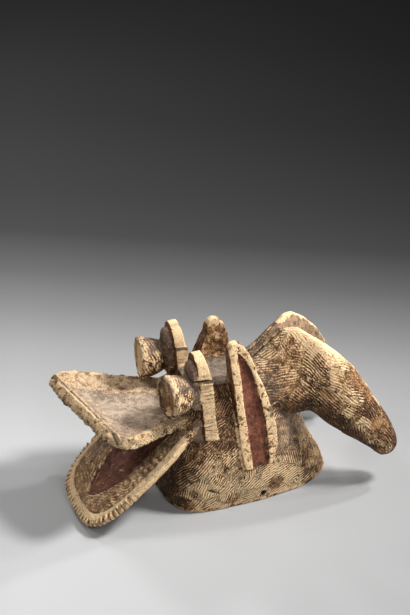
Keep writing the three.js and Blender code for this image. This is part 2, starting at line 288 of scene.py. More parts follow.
@dataclass(frozen=True)
class Helmet(Form):
    """Bell-shaped helmet with an open underside. Sizes of its plan at a few heights."""

    widest_y: float = -60.0
    front_power: float = 3.0
    height: tuple[float, ...] = (0, 22, 50, 80, 106, 130, 150, 167)
    half: tuple[float, ...] = (82, 84, 83, 79, 71.5, 60, 49, 40)
    front: tuple[float, ...] = (64, 64, 58, 52, 47, 41, 35, 26)
    back: tuple[float, ...] = (179, 172, 156, 142, 133, 131, 118, 90)
    square: tuple[float, ...] = (2.5, 2.5, 2.4, 2.4, 2.6, 2.8, 2.8, 2.8)
    cord_hole: tuple[float, float] = (0.0, 12.0)
    arc_centre: tuple[float, float] = (-4.0, 96.0)
    down_the_back: Place = (0.0, 0.55, -0.83)
    crack: tuple[Place, ...] = (
        (62, -109, 56), (70, -103, 47), (77, -90, 40), (82, -76, 33), (84, -66, 28),
    )
    chips: tuple[tuple[Place, float, float], ...] = (
        ((77, -97, 29), 5.5, 5.5), ((82, -53, 59), 4.5, 5),
    )
    bare: tuple[Spot, ...] = (
        ((80, -20, 62), 9), ((84, -44, 14), 9), ((76, 20, 22), 12), ((70, -104, 12), 10),
    )

    def reach(self, points: Array) -> Array:
        """How far out each point lies: 1 on the outer face of the bell, less inside it."""
        x, y, z = points.T
        half, front, back, square = (
            np.interp(z, self.height, row) for row in (self.half, self.front, self.back, self.square)
        )
        ahead = y < self.widest_y
        power = np.where(ahead, self.front_power, square)
        return curve_reach(x / half, (y - self.widest_y) / np.where(ahead, front, back), power)

    def inside(self, skin: Surface) -> Array:
        """The hollow's wall, seen only from below."""
        low = step(150, 147, skin.points[:, 2])
        return low * step(0.93, 0.9, self.reach(skin.points))

    def share(self, skin: Surface) -> Array:
        """The bell, up to where the crown's plateau starts."""
        return step(1.1, 1.03, self.reach(skin.points)) * step(178, 166, skin.points[:, 2])

    def cut(self, skin: Surface, share: Array) -> None:
        """Shallow adze facets all over, an old crack below the jaw and a few chips."""
        outside = share * (1 - self.inside(skin))
        skin.depth += outside * 0.8 * skin.noise(19, 3)
        skin.depth -= outside * step(2.6, 0.6, self.crack_gap(skin)) * 1.3
        for place, dent, _ in self.chips:
            skin.depth -= outside * blot(skin.mirrored, place, dent, 5) * 0.5

    def crack_gap(self, skin: Surface) -> Array:
        """Distance from the crack, which wanders a little."""
        return gap_to_line(skin.points, self.crack) + 1.2 * skin.noise(6, 6)

    def paint(self, skin: Surface, share: Array) -> None:
        """Clay combed in strokes, worn to brown behind the ears and painted dark below the jaw as the
        jaws' shade.
        """
        _, y, z = skin.points.T
        patches = skin.rough(30, 21, 4)
        flakes = skin.rough(9, 24)
        skin.coat(
            share, cover=0.7 + 0.42 * patches + 0.15 * flakes,
            tan=0.45 + 0.4 * skin.rough(16, 23), marks=0.95 + 0.5 * skin.noise(17, 22),
            pitch=3.3, lines=self.sweep(skin),
        )
        behind = share * step(2, 22, y) * step(48, 72, z + 8 * patches)
        skin.coat(
            behind, cover=0.2 + 0.32 * patches + 0.3 * flakes,
            grey=0.28 + 0.2 * skin.noise(15, 25),
        )
        back = share * step(38, 60, y)
        skin.coat(back, cover=0.42 + 0.3 * patches + 0.4 * flakes)
        jaw = share * step(-78, -100, y) * step(34, 58, z)
        skin.coat(jaw, cover=0.26 + 0.4 * flakes)
        # Little clay low on the front, and the wood there darkened: painted shade of the jaws above it.
        low = share * step(-98, -116, y)
        skin.coat(0.85 * low, cover=0.12 + 0.4 * flakes)
        skin.coat(low, tan=0.2, soot=0.2)
        # Bare wood high on the front shoulder, between brow plate and ear: worn clay, and partly painted
        # shade of the ear.
        shoulder = share * step(74, 100, z + 6 * patches) * step(8, -8, y)
        skin.coat(shoulder, cover=0.04 + 0.25 * flakes, tan=0.25)
        foot = share * step(46, 26, z + 8 * patches) * step(-96, -80, y) * step(70, 50, y)
        skin.coat(0.6 * foot, cover=1.05 + 0.3 * flakes)
        skin.coat(foot, marks=1.2)
        skin.coat(share * step(7, 2, z + 3 * flakes), cover=0.7 + 0.5 * flakes)
        skin.coat(share * step(9, 3, z), marks=0.1)
        for place, _, stain in self.chips:
            mark = share * blot(skin.mirrored, place, stain, 5)
            skin.coat(0.6 * mark, cover=0.2)
            skin.coat(mark, soot=0.16)
        for place, size in self.bare:
            skin.coat(share * blot(skin.mirrored, place, size, 7), cover=0.18)
        skin.coat(share * step(2.2, 0.6, self.crack_gap(skin)), soot=0.85)
        # The cord hole is painted near black: painted shade inside the hole.
        hole = np.hypot(y - self.cord_hole[0], z - self.cord_hole[1])
        skin.coat(share * step(5.5, 3, hole), soot=0.95)
        inside = self.inside(skin)
        skin.coat(inside, cover=0.02, tan=0.3, soot=0.25)

    def sweep(self, skin: Surface) -> Array:
        """Direction of the strokes: up to the back in front, and in arcs round each ear's foot."""
        _, y, z = skin.mirrored.T
        around = step(-14, 12, y)[:, None]
        arcs = np.stack([0 * y, z - self.arc_centre[1], self.arc_centre[0] - y], 1)
        arcs /= np.maximum(np.linalg.norm(arcs, axis=1), 1)[:, None]
        high = step(50, 76, z)[:, None]
        arcs = arcs * (1 - high) + np.array(self.down_the_back) * high
        return np.array(BACK_AND_UP) * (1 - around) + arcs * around


@dataclass(frozen=True)
class Crown(Form):
    """Flat crown between the ears, scraped to grey wood with a sharp edge."""

    low: float = 158.0
    half: float = 40.0
    front: float = -92.0
    back: float = 8.0

    def share(self, skin: Surface) -> Array:
        """The plateau itself, which faces up."""
        x, y, z = skin.points.T
        flat = step(0.75, 0.9, skin.normals[:, 2]) * band(self.front, self.back, 8, y)
        return flat * step(self.half + 4, self.half - 2, np.abs(x)) * step(self.low, self.low + 5, z)

    def paint(self, skin: Surface, share: Array) -> None:
        """Grey, bare and finely combed from front to back."""
        skin.coat(
            share, grey=0.8, cover=0.3, soot=0.46, marks=0.7, pitch=2.6,
            lines=(0.05, 1.0, 0.0),
        )


@dataclass(frozen=True)
class LowerJaw(Form):
    """Scoop that slopes down and forward from the corners of the mouth."""

    corner_y: float = -105.0
    corner_z: float = 117.0
    slope: float = math.radians(37.2)
    half: float = 86.0
    root: float = 76.0
    middle: float = 70.0
    tip: float = 181.0
    back: float = 70.0
    power: float = 3.3
    skew: float = 0.09
    floor_half: float = 35.0
    floor_middle: float = 90.0
    floor_tip: float = 154.0
    floor_power: float = 1.6
    tooth_pitch: float = 7.4
    tooth_line: float = 4.0
    tooth_long: float = 11.0
    tooth_steps: int = 400

    def local(self, points: Array) -> tuple[Array, Array, Array]:
        """Places across the jaw, down its slope and square to it."""
        v, h = self.turned(points - np.array([0, self.corner_y, self.corner_z]))
        return points[:, 0] - v * self.skew, v, h

    def turned(self, vectors: Array) -> tuple[Array, Array]:
        """How far vectors reach down the slope, and square out of it."""
        sin, cos = math.sin(self.slope), math.cos(self.slope)
        _, y, z = vectors.T
        return -y * cos - z * sin, -y * sin + z * cos

    def inset(self, points: Array) -> Array:
        """Distance in from the jaw's outline."""
        x, v, _ = self.local(points)
        half = self.root + (self.half - self.root) * step(-40, 60, v)
        long = np.where(v > self.middle, self.tip - self.middle, self.back + self.middle)
        a, b = np.abs(x / half), np.abs((v - self.middle) / long)
        reach = np.maximum(curve_reach(a, b, self.power), 0.05)
        slope = np.hypot((a / reach) ** (self.power - 1) / half, (b / reach) ** (self.power - 1) / long)
        return (1 - reach) / np.maximum(slope, 1e-4)

    def floor(self, points: Array) -> Array:
        """How far out each point lies in the floor's pointed arch: 1 on its outline."""
        x, v, _ = self.local(points)
        ahead = v > self.floor_middle
        long = np.where(ahead, self.floor_tip - self.floor_middle, self.back + self.floor_middle)
        power = np.where(ahead, self.floor_power, 6.0)
        return curve_reach(x / self.floor_half, (v - self.floor_middle) / long, power)

    def share(self, skin: Surface) -> Array:
        """Everything below the mouth and in front of the helmet."""
        _, v, h = self.local(skin.points)
        ahead = step(-104, -116, skin.points[:, 1]) * step(6, 4, h)
        return ahead * step(-40, -34, h) * step(-10, 0, v) * step(-8, -4, self.inset(skin.points))

    def cut(self, skin: Surface, share: Array) -> None:
        """Rope-like cuts round the rim, ripples across the slope and a chipped floor."""
        _, v, h = self.local(skin.points)
        inset = self.inset(skin.points)
        floor = self.floor(skin.points)
        up = step(-12, -9, h)
        chips = skin.rough(6, 5)
        skin.depth += share * up * step(1, 0.94, floor) * 0.8 * chips
        border = up * band(0.7, 0.97, 0.04, floor) * step(120, 90, v) * step(30, 0, skin.points[:, 0])
        skin.depth += share * border * (0.6 + 1.6 * step(-0.1, 0.35, chips))
        skin.depth -= share * up * band(16.5, 18, 1, inset) * 0.8
        skin.depth += share * up * band(2, 14, 2, inset) * 0.6 * skin.noise(5, 6)
        ripple = np.sin(v * math.tau / 9 + 3 * skin.noise(18, 9))
        skin.depth += share * up * step(17, 20, inset) * step(0.98, 1.06, floor) * 0.35 * ripple
        count, deep = self.teeth(skin)
        notch = step(0.25, 0.95, np.cos(math.tau * count))
        skin.depth -= share * deep * notch * 2.3
        skin.depth += share * deep * (1 - notch) * 0.4

    def teeth(self, skin: Surface) -> tuple[Array, Array]:
        """The rim's cuts.

        Args:
            skin: The carving's points.

        Returns:
            How many cuts have been passed on the way round the rim, and how deep they are.
        """
        x, v, h = self.local(skin.points)
        turn = np.linspace(-math.pi / 2, math.pi / 2, self.tooth_steps)
        bent_cos = np.cos(turn) ** (2 / self.power)
        bent_sin = np.sign(np.sin(turn)) * np.abs(np.sin(turn)) ** (2 / self.power)
        line_v = self.middle + (self.tip - self.middle - self.tooth_line) * bent_cos
        line_x = (self.half - self.tooth_line) * bent_sin
        walked = np.concatenate([[0], np.cumsum(np.hypot(np.diff(line_v), np.diff(line_x)))])
        near = (self.inset(skin.points) < 15) & (v > self.middle) & (h > -20)
        way = np.zeros(len(x))
        way[near] = walked[nearest(np.stack([x, v], 1)[near], np.stack([line_x, line_v], 1))]
        inset = self.inset(skin.points)
        wander = 1.1 * skin.noise(12, 12)
        front = step(self.middle, self.tip - 22, v) * (0.6 + 0.4 * step(40, -30, x))
        long = self.tooth_long + 2 * wander
        deep = near * front * step(long, 5, inset) * (0.75 + 0.5 * skin.noise(14, 14))
        return (way + wander + 0.18 * inset) / self.tooth_pitch, deep * step(-14, -9, h)

    def paint(self, skin: Surface, share: Array) -> None:
        """Cream rim, golden brown slope, red floor with a cream line round it, dark underside; the floor
        is painted darker towards the throat as shade.
        """
        x, v, h = self.local(skin.points)
        inset = self.inset(skin.points)
        floor = self.floor(skin.points)
        flakes = skin.rough(7, 35)
        top = share * step(-14, -10, h) * step(0.1, 0.4, self.turned(skin.normals)[1])
        rim = top * step(17.5, 15.5, inset + flakes) + share * band(-7, 2, 2, h) * step(5, 2, inset)
        rim = np.clip(rim, 0, 1)
        slope = top * step(15.5, 17.5, inset + flakes)
        bed = top * step(1.0, 0.96, floor + 0.02 * flakes)
        under = share * step(-5, -9, h)
        skin.coat(under, cover=0.12 + 0.3 * flakes, tan=0.3, marks=0.3)
        skin.coat(
            slope, cover=0.34 + 0.14 * step(0, 45, x) + 0.26 * skin.rough(16, 31),
            tan=1.5 + 0.3 * skin.rough(24, 36),
            grey=0.05 + 0.2 * step(0.1, 0.6, skin.rough(26, 32)), marks=0.5, pitch=4.5,
        )
        skin.coat(rim, cover=1.05 + 0.5 * flakes, tan=0.9, marks=0.25, grey=0.0)
        skin.coat(rim * step(20, -40, v), cover=0.45 + 0.6 * flakes)
        line = top * band(0.985, 1.025, 0.02, floor) * step(-0.25, 0.1, flakes)
        skin.coat(line, cover=0.9)
        border = band(0.66, 0.97, 0.06, floor) * step(125, 95, v) * step(30, -5, x)
        skin.coat(bed, cover=0.1 + 0.3 * step(0.18, 0.5, skin.rough(4.5, 34)), ochre=0.95, grey=0.0)
        skin.coat(bed * border, cover=0.14 + 0.5 * flakes, tan=0.8, ochre=0.72)
        # The floor is painted darker towards the throat: painted shade at the back of the mouth.
        skin.coat(bed * step(40, 0, v), soot=0.2)
        count, deep = self.teeth(skin)
        skin.coat(share * (deep > 0), count=count)
        skin.coat(share, cuts=deep, lines=self.along(skin))

    def along(self, skin: Surface) -> Array:
        """Direction of the strokes, which follow the outline."""
        x, v, _ = self.local(skin.points)
        sin, cos = math.sin(self.slope), math.cos(self.slope)
        turn = np.arctan2(np.maximum(v - self.middle, 0), np.abs(x) + 20)
        across = np.stack([np.sin(turn) * -skin.side, 0 * turn, 0 * turn], 1)
        down = np.outer(np.cos(turn), [0, -cos, -sin])
        return across + down


@dataclass(frozen=True)
class UpperJaw(Form):
    """Wide bill that rises to a square front, dished on top."""

    corner_y: float = -105.0
    front_y: float = -231.0
    opens_y: float = -95.0
    half: float = 100.0
    waist: float = 60.0
    root_z: float = 136.0
    rise: float = 0.1
    roll: float = 0.03
    slant: float = 0.2
    hook: float = 9.0
    lift: float = 5.0

    def local(self, points: Array) -> tuple[Array, Array, Array]:
        """Distances in from the sides and from the front, and height above the rim."""
        x, y, z = points.T
        opening = step(-self.opens_y, -self.front_y, -y)
        corner = opening * np.maximum(0, -x / self.half) ** 2
        straight = y - self.slant * x * opening + self.hook * corner
        opening = step(-self.opens_y, -self.front_y, -straight)
        half = self.waist + (self.half - self.waist) * opening
        level = self.root_z - self.rise * (straight - self.corner_y)
        level += -self.roll * x + self.lift * corner
        return half - np.abs(x), straight - self.front_y, z - level

    def share(self, skin: Surface) -> Array:
        """The bill in front of the eyes' roots."""
        sides, _, h = self.local(skin.points)
        ahead = step(-100, -112, skin.points[:, 1])
        return ahead * band(-23, 3, 3, h) * step(-8, -4, sides)

    def cut(self, skin: Surface, share: Array) -> None:
        """A double ridge inside the front lip, a ragged edge and a soft hollow on top."""
        sides, front, _ = self.local(skin.points)
        near = np.minimum(sides, front)
        up = step(0.2, 0.6, skin.normals[:, 2])
        fade = step(2, 12, sides) * step(0.0, 0.25, 0.5 + skin.rough(30, 11))
        skin.depth -= share * up * band(12.2, 15, 1.4, front) * fade * 1.9
        skin.depth += share * up * band(16.5, 17.5, 1.2, front) * fade * 0.8
        skin.depth -= share * up * band(19.5, 20.5, 1.2, front) * step(8, 14, sides) * 0.7
        skin.depth += share * step(15, 6, near) * 1.9 * skin.rough(7, 8)
        skin.depth += share * up * step(20, 40, near) * 0.5 * skin.noise(24, 13)

    def paint(self, skin: Surface, share: Array) -> None:
        """Grey, rubbed top, tan towards its edges, with a rough cream lip and a palate painted dark as
        shade.
        """
        x, y, _ = skin.points.T
        sides, front, _ = self.local(skin.points)
        flakes = skin.rough(6, 42)
        near = np.minimum(sides * 0.75, front)
        top = share * step(0.1, 0.5, skin.normals[:, 2])
        under = share * step(-0.1, -0.5, skin.normals[:, 2])
        face = share * (1 - np.clip(top + under, 0, 1))
        drift = 7 * skin.rough(26, 41)
        middle = step(14, 46, near + drift)
        skin.coat(
            top, cover=0.6 + 0.07 * skin.rough(20, 43) + 0.03 * flakes, tan=0.75,
            grey=0.68 + 0.3 * middle, soot=0.1, marks=0.1, lines=(1.0, 0.2, 0.0),
        )
        # A band along the far side of the top, creamier and greyer: cream clay, and partly painted light
        # lifting it out of the far eye's shadow.
        far = top * band(8, 34, 9, (x + self.half) - 0.35 * (y - self.front_y) + drift)
        skin.coat(far * step(-0.2, 0.35, flakes), cover=0.85)
        skin.coat(far, grey=0.35)
        groove = top * band(12.5, 14.5, 1.2, front) * step(2, 12, sides)
        lip = top * step(13.5, 11.5, np.minimum(sides * 1.4 + 3, front) + 1.5 * flakes)
        ridge = top * band(15.8, 18, 1, front) * step(6, 14, sides) * step(-0.3, 0.1, flakes)
        skin.coat(lip, cover=0.92 + 0.9 * flakes, grey=0.0)
        # The groove inside the lip is painted dark: painted shade in the groove.
        skin.coat(groove * step(-0.5, 0.1, flakes), soot=0.7)
        # The thin ridge inside the lip is painted cream: clay, and partly a painted highlight along the
        # ridge.
        skin.coat(ridge, cover=0.95, grey=0.15)
        skin.coat(
            face, cover=1.15 + 0.8 * flakes, marks=0.9, pitch=3.2, lines=(0.35, -0.6, 0.7)
        )
        cheek = share * blot(skin.points, (66, -112, 132), 25, 45) * step(0, 30, x)
        skin.coat(cheek, cover=0.62 + 0.5 * flakes, grey=0.0, marks=1.2)
        # The palate faces down: red-brown wood with little clay, painted darker as shade under the bill.
        skin.coat(under, cover=0.0, ochre=0.3, soot=0.5, tan=0.1)


@dataclass(frozen=True)
class Eyes(Form):
    """Stalks that flare to a blunt end with a raised edge."""

    x: float = 53.0
    y: float = -90.0
    z: float = 171.0
    long: float = 38.0
    splay: float = math.radians(6)

    def local(self, points: Array) -> tuple[Array, Array, Array]:
        """Places along the stalk, out from its axis and round it."""
        away = points - np.array([self.x, self.y, self.z])
        axis = np.array([math.sin(self.splay), -math.cos(self.splay), 0])
        along = away @ axis
        off = away - np.outer(along, axis)
        return along, np.linalg.norm(off, axis=1), np.arctan2(off[:, 2], off[:, 0])

    def share(self, skin: Surface) -> Array:
        """Both stalks, from the brow plates to their ends."""
        along, out, _ = self.local(skin.mirrored)
        return step(2, 6, along) * step(self.long + 5, self.long + 2, along) * step(33, 30, out)

    def cut(self, skin: Surface, share: Array) -> None:
        """Facets left by the knife round the stalk, and a rough end."""
        along, out, turn = self.local(skin.mirrored)
        flank = share * step(18, 22, out + along * 0.2) * step(self.long - 1, self.long - 5, along)
        skin.depth += flank * 0.5 * noise(np.stack([along / 3, turn * 9, turn * 0], 1), 4, 51)
        skin.depth += share * step(self.long - 6, self.long - 3, along) * 0.6 * skin.rough(8, 52)
        skin.depth += share * step(self.long - 10, self.long - 3, along) * step(22, 25, out) * 0.4

    def paint(self, skin: Surface, share: Array) -> None:
        """Cream and brown sides with a cream edge, and a dark end with clay left low on it and a painted
        shadow round the near end's rim.
        """
        along, out, turn = self.local(skin.mirrored)
        flakes = skin.rough(6, 53)
        up = np.sin(turn)
        end = share * step(self.long - 5.5, self.long - 3, along) * step(25, 23, out)
        edge = share * step(self.long - 11, self.long - 7, along) * step(22, 25, out)
        ring = np.stack([-np.sin(turn) * skin.side, 0.5 + 0 * turn, np.cos(turn)], 1)
        skin.coat(
            share, cover=0.54 + 0.35 * skin.rough(12, 54) + 0.5 * flakes, marks=0.6, pitch=4.0,
            lines=ring,
        )
        above = share * step(0.35, 0.8, up + 0.2 * flakes)
        skin.coat(above, cover=0.35, grey=0.3)
        below = share * step(-0.35, -0.8, up + 0.4 * flakes)
        skin.coat(below, cover=0.3)
        neck = share * step(13, 7, along)
        skin.coat(neck, cover=0.2)
        skin.coat(edge * (1 - 0.8 * below), cover=0.72 + 0.7 * flakes)
        far = np.where(skin.side > 0, 0.0, 0.6)
        skin.coat(end, cover=0.34 + far + 0.6 * skin.rough(9, 56), tan=0.85, marks=0.3)
        # A dark ring round the near end's rim: painted edge shadow.
        skin.coat(end * step(19, 24, out) * (1 - far), soot=0.5)
        low = end * blot(np.stack([out * np.cos(turn), out * up, along], 1), (6, -19, 36), 8, 55)
        skin.coat(low, cover=1.0, soot=0.0)


@dataclass(frozen=True)
class BrowPlates(Form):
    """Standing plates behind the eyes, each with a smaller lobe before it."""

    x: float = 47.0
    half: float = 24.5
    middle_y: float = -70.0
    lean: float = math.tan(math.radians(4.7))
    low: float = 100.0
    thick: float = 18.0
    line_z: float = 192.0
    lobe_front: float = -94.0

    def middle(self, z: Array) -> Array:
        """The leaning plate's middle at each height."""
        return self.middle_y - (z - self.low) * self.lean

    def share(self, skin: Surface) -> Array:
        """Plates and lobes above the helmet's shoulder."""
        x, y, z = skin.mirrored.T
        outer = step(60, 64, x) * step(100, 106, z)
        inner = step(164, 168, z) * step(18, 21, x)
        place = np.clip(outer + inner, 0, 1) * step(self.half + 5, self.half + 2, np.abs(x - self.x))
        back = self.middle(z) + self.thick / 2
        return place * step(self.lobe_front - 3, self.lobe_front - 1, y) * step(back + 2, back + 1, y)

    def cut(self, skin: Surface, share: Array) -> None:
        """A deep line where the round top steps in, and nicks along the outer edge."""
        z = skin.points[:, 2]
        edge = share * step(0.3, 0.7, skin.mirrored_normals[:, 0])
        drop = z + 1.2 * skin.noise(7, 65)
        skin.depth -= edge * band(self.line_z - 1.2, self.line_z + 0.8, 0.8, drop) * 1.8
        skin.depth += edge * band(self.line_z - 4.5, self.line_z - 2.5, 1, drop) * 0.7
        skin.depth += edge * 0.7 * skin.noise(3.4, 61, (0.3, 0.3, 1))

    def paint(self, skin: Surface, share: Array) -> None:
        """Cream edges with short level strokes, red-brown faces, grey-brown lobes and a painted shadow
        line under the round top.
        """
        _, y, z = skin.mirrored.T
        normal = skin.mirrored_normals
        flakes = skin.rough(5, 66)
        face = share * step(-0.4, -0.8, normal[:, 1])
        back = share * step(0.4, 0.8, normal[:, 1])
        front_y = self.middle(z) - self.thick / 2
        lobe = step(front_y - 0.5, front_y - 2, y)
        edge = share * (1 - np.clip(face + back, 0, 1)) * (1 - lobe)
        skin.coat(face, cover=0.12 + 0.25 * flakes, tan=0.5)
        skin.coat(face * (1 - lobe), ochre=0.62)
        skin.coat(back, cover=0.2)
        skin.coat(share * lobe, cover=0.22 + 0.3 * flakes, tan=0.45, grey=0.35)
        skin.coat(edge, grey=0.0, cover=0.97 + 0.35 * flakes, tan=0.75)
        skin.coat(share, marks=0.1, lines=(0.0, 1.0, 0.0))
        # The step line is painted dark: painted shadow where the round top steps in.
        drop = z + 1.2 * skin.noise(7, 65)
        line = share * band(self.line_z - 1.6, self.line_z + 0.8, 0.8, drop) * (1 - back)
        skin.coat(line, cover=-0.2, soot=0.75)
        low = edge * step(self.line_z - 3, self.line_z - 10, z)
        skin.coat(
            low, count=(z + 0.9 * skin.noise(6, 67)) / 5.2,
            cuts=0.1 + 0.35 * skin.noise(6, 68),
        )


@dataclass(frozen=True)
class Ears(Form):
    """Half leaves that lean in against the helmet's sides, grooved down the outer face."""

    low: float = 57.0
    low_x: float = 88.0
    tilt: float = math.radians(14.8)
    long: float = 173.0
    front_y: float = -37.0
    left_bow: float = 0.0
    right_bow: float = 17.0
    right_lean: float = 0.12
    belly: float = 0.28
    above_belly: float = 0.6
    holes: tuple[tuple[float, float], ...] = ((78, 4.0), (69, 3.2))

    def local(self, points: Array) -> tuple[Array, Array]:
        """Places up the slope of the outer face, and in behind it."""
        up = (points[:, 2] - self.low) / math.cos(self.tilt)
        return up, self.low_x - up * math.sin(self.tilt) - points[:, 0]

    def across(self, skin: Surface, up: Array) -> Array:
        """Places across the outer face, from the line of the front edge's top."""
        lean = np.where(skin.side > 0, 0, self.right_lean) * (self.long - up)
        return skin.points[:, 1] + lean - self.front_y

    def front(self, skin: Surface, up: Array) -> Array:
        """Where an ear's front edge runs; the right one's bows forward."""
        share = np.clip(up / self.long, 0, 1)
        bow = np.where(skin.side > 0, self.left_bow, self.right_bow)
        bend = 4 - bow / 4
        low = np.clip(share / self.belly, 0, 1)
        foot = 10 * (1 - low) ** 2 + (5 - bow / 6) * 2 * low * (1 - low) + bend * low**2
        high = np.clip((share - self.belly) / self.above_belly, 0, 1)
        head = bend * (1 - high) ** 2 + (4 - bow) * 2 * high * (1 - high)
        return np.where(share < self.belly, foot, head)

    def back(self, up: Array) -> Array:
        """Where an ear's back edge runs."""
        return np.interp(up / self.long, (0, 0.2, 0.45, 0.8, 0.95, 1), (44, 57, 54, 34, 20, 10))

    def share(self, skin: Surface) -> Array:
        """Both ears, where they stand free of the helmet."""
        up, deep = self.local(skin.mirrored)
        y = self.across(skin, up)
        thick = np.interp(up, (0, 118, self.long), (30, 28, 11))
        place = step(-5, -2, up) * step(-4, -2, deep) * step(thick + 4, thick + 1, deep)
        return place * step(-5, -2, y - self.front(skin, up)) * step(4, 1, y - self.back(up))

    def red(self, skin: Surface, up: Array) -> Array:
        """How far each point of the outer face lies inside the groove's outline, 0 to 1."""
        y = self.across(skin, up)
        share = up / self.long
        front = np.interp(share, (0, 0.45, 0.74, 0.93), (20, 15, 13.5, 11))
        heights = (0, 0.31, 0.46, 0.6, 0.695, 0.78, 0.86, 0.93)
        back = np.interp(share, heights, (42, 42.5, 39.8, 35, 32, 27, 20, 11))
        edge = 1.2 * skin.noise(5, 77)
        inside = step(-1, 1, y - front + edge) * step(1, -1, y - back + edge)
        return inside * step(-0.03, -0.015, share) * step(0.94, 0.92, share)

    def cut(self, skin: Surface, share: Array) -> None:
        """Pits and nicks in the rims, and fibres down the groove."""
        up, deep = self.local(skin.mirrored)
        outer = share * step(6.5, 5, deep)
        red = self.red(skin, up)
        pits = step(0.3, 0.6, skin.noise(2.4, 71))
        skin.depth -= outer * (1 - red) * pits * 0.7
        skin.depth += outer * (1 - red) * 0.7 * skin.noise(10, 78)
        skin.depth += outer * red * 0.45 * skin.noise(2.6, 72, (1, 1, 0.18))
        skin.depth += share * (1 - outer) * 1.1 * skin.rough(8, 73)

    def paint(self, skin: Surface, share: Array) -> None:
        """Cream rims, a red groove, front sides painted dark as shade, and rough brown inner faces."""
        up, deep = self.local(skin.mirrored)
        normal = skin.mirrored_normals
        flakes = skin.rough(6, 75)
        outer = share * step(0.3, 0.6, normal[:, 0]) * step(7, 5.5, deep)
        groove = self.red(skin, up) * share * step(7.5, 6, deep)
        inner = share * step(-0.3, -0.7, normal[:, 0])
        forward = share * step(-0.3, -0.7, normal[:, 1])
        skin.coat(
            share, grey=0.0, cover=0.5 + 0.5 * flakes, tan=0.5, marks=0.1, lines=(0.0, 0.1, 1.0)
        )
        skin.coat(inner, cover=0.44 + 0.6 * flakes, tan=0.75 + 0.5 * flakes, ochre=0.25)
        skin.coat(inner * step(0.25, 0.5, skin.rough(9, 79)), soot=0.6)
        # The sides that face forward are painted dark: painted shade on the ears' front sides.
        forward *= step(2.5, 4.5, deep)
        skin.coat(forward, cover=-0.05 + 0.3 * flakes, soot=0.3, ochre=0.1)
        cap = share * step(0.93, 0.97, up / self.long + 0.02 * flakes)
        skin.coat(cap, cover=0.97, ochre=0.0, soot=0.0)
        skin.coat(outer, cover=0.92 + 0.35 * flakes, tan=0.8, soot=0.0)
        pits = step(0.3, 0.6, skin.noise(2.4, 71))
        skin.coat(outer * (1 - groove) * pits, cover=0.1)
        # The holes are painted near black: painted shade inside the holes.
        for height, size in self.holes:
            out, rise = -height * math.sin(self.tilt), height * math.cos(self.tilt)
            back = self.back(np.array([height]))[0] + self.front_y - 4
            place = (self.low_x + out, back, self.low + rise)
            skin.coat(share * blot(skin.mirrored, place, size, 80), soot=0.75)
        low = outer * (1 - groove) * step(66, 56, up) * step(38, 42, self.across(skin, up))
        skin.coat(
            low, count=(up + 0.8 * skin.noise(6, 81)) / 5.4,
            cuts=0.08 + 0.4 * skin.noise(6, 83),
        )
        light = step(0.3, 0.7, skin.noise(2.4, 76, (1, 1, 0.3)))
        skin.coat(groove, ochre=1.0, cover=-0.2 + 0.42 * light)
        skin.coat(groove * step(-0.1, -0.5, skin.rough(14, 82)), soot=0.35)


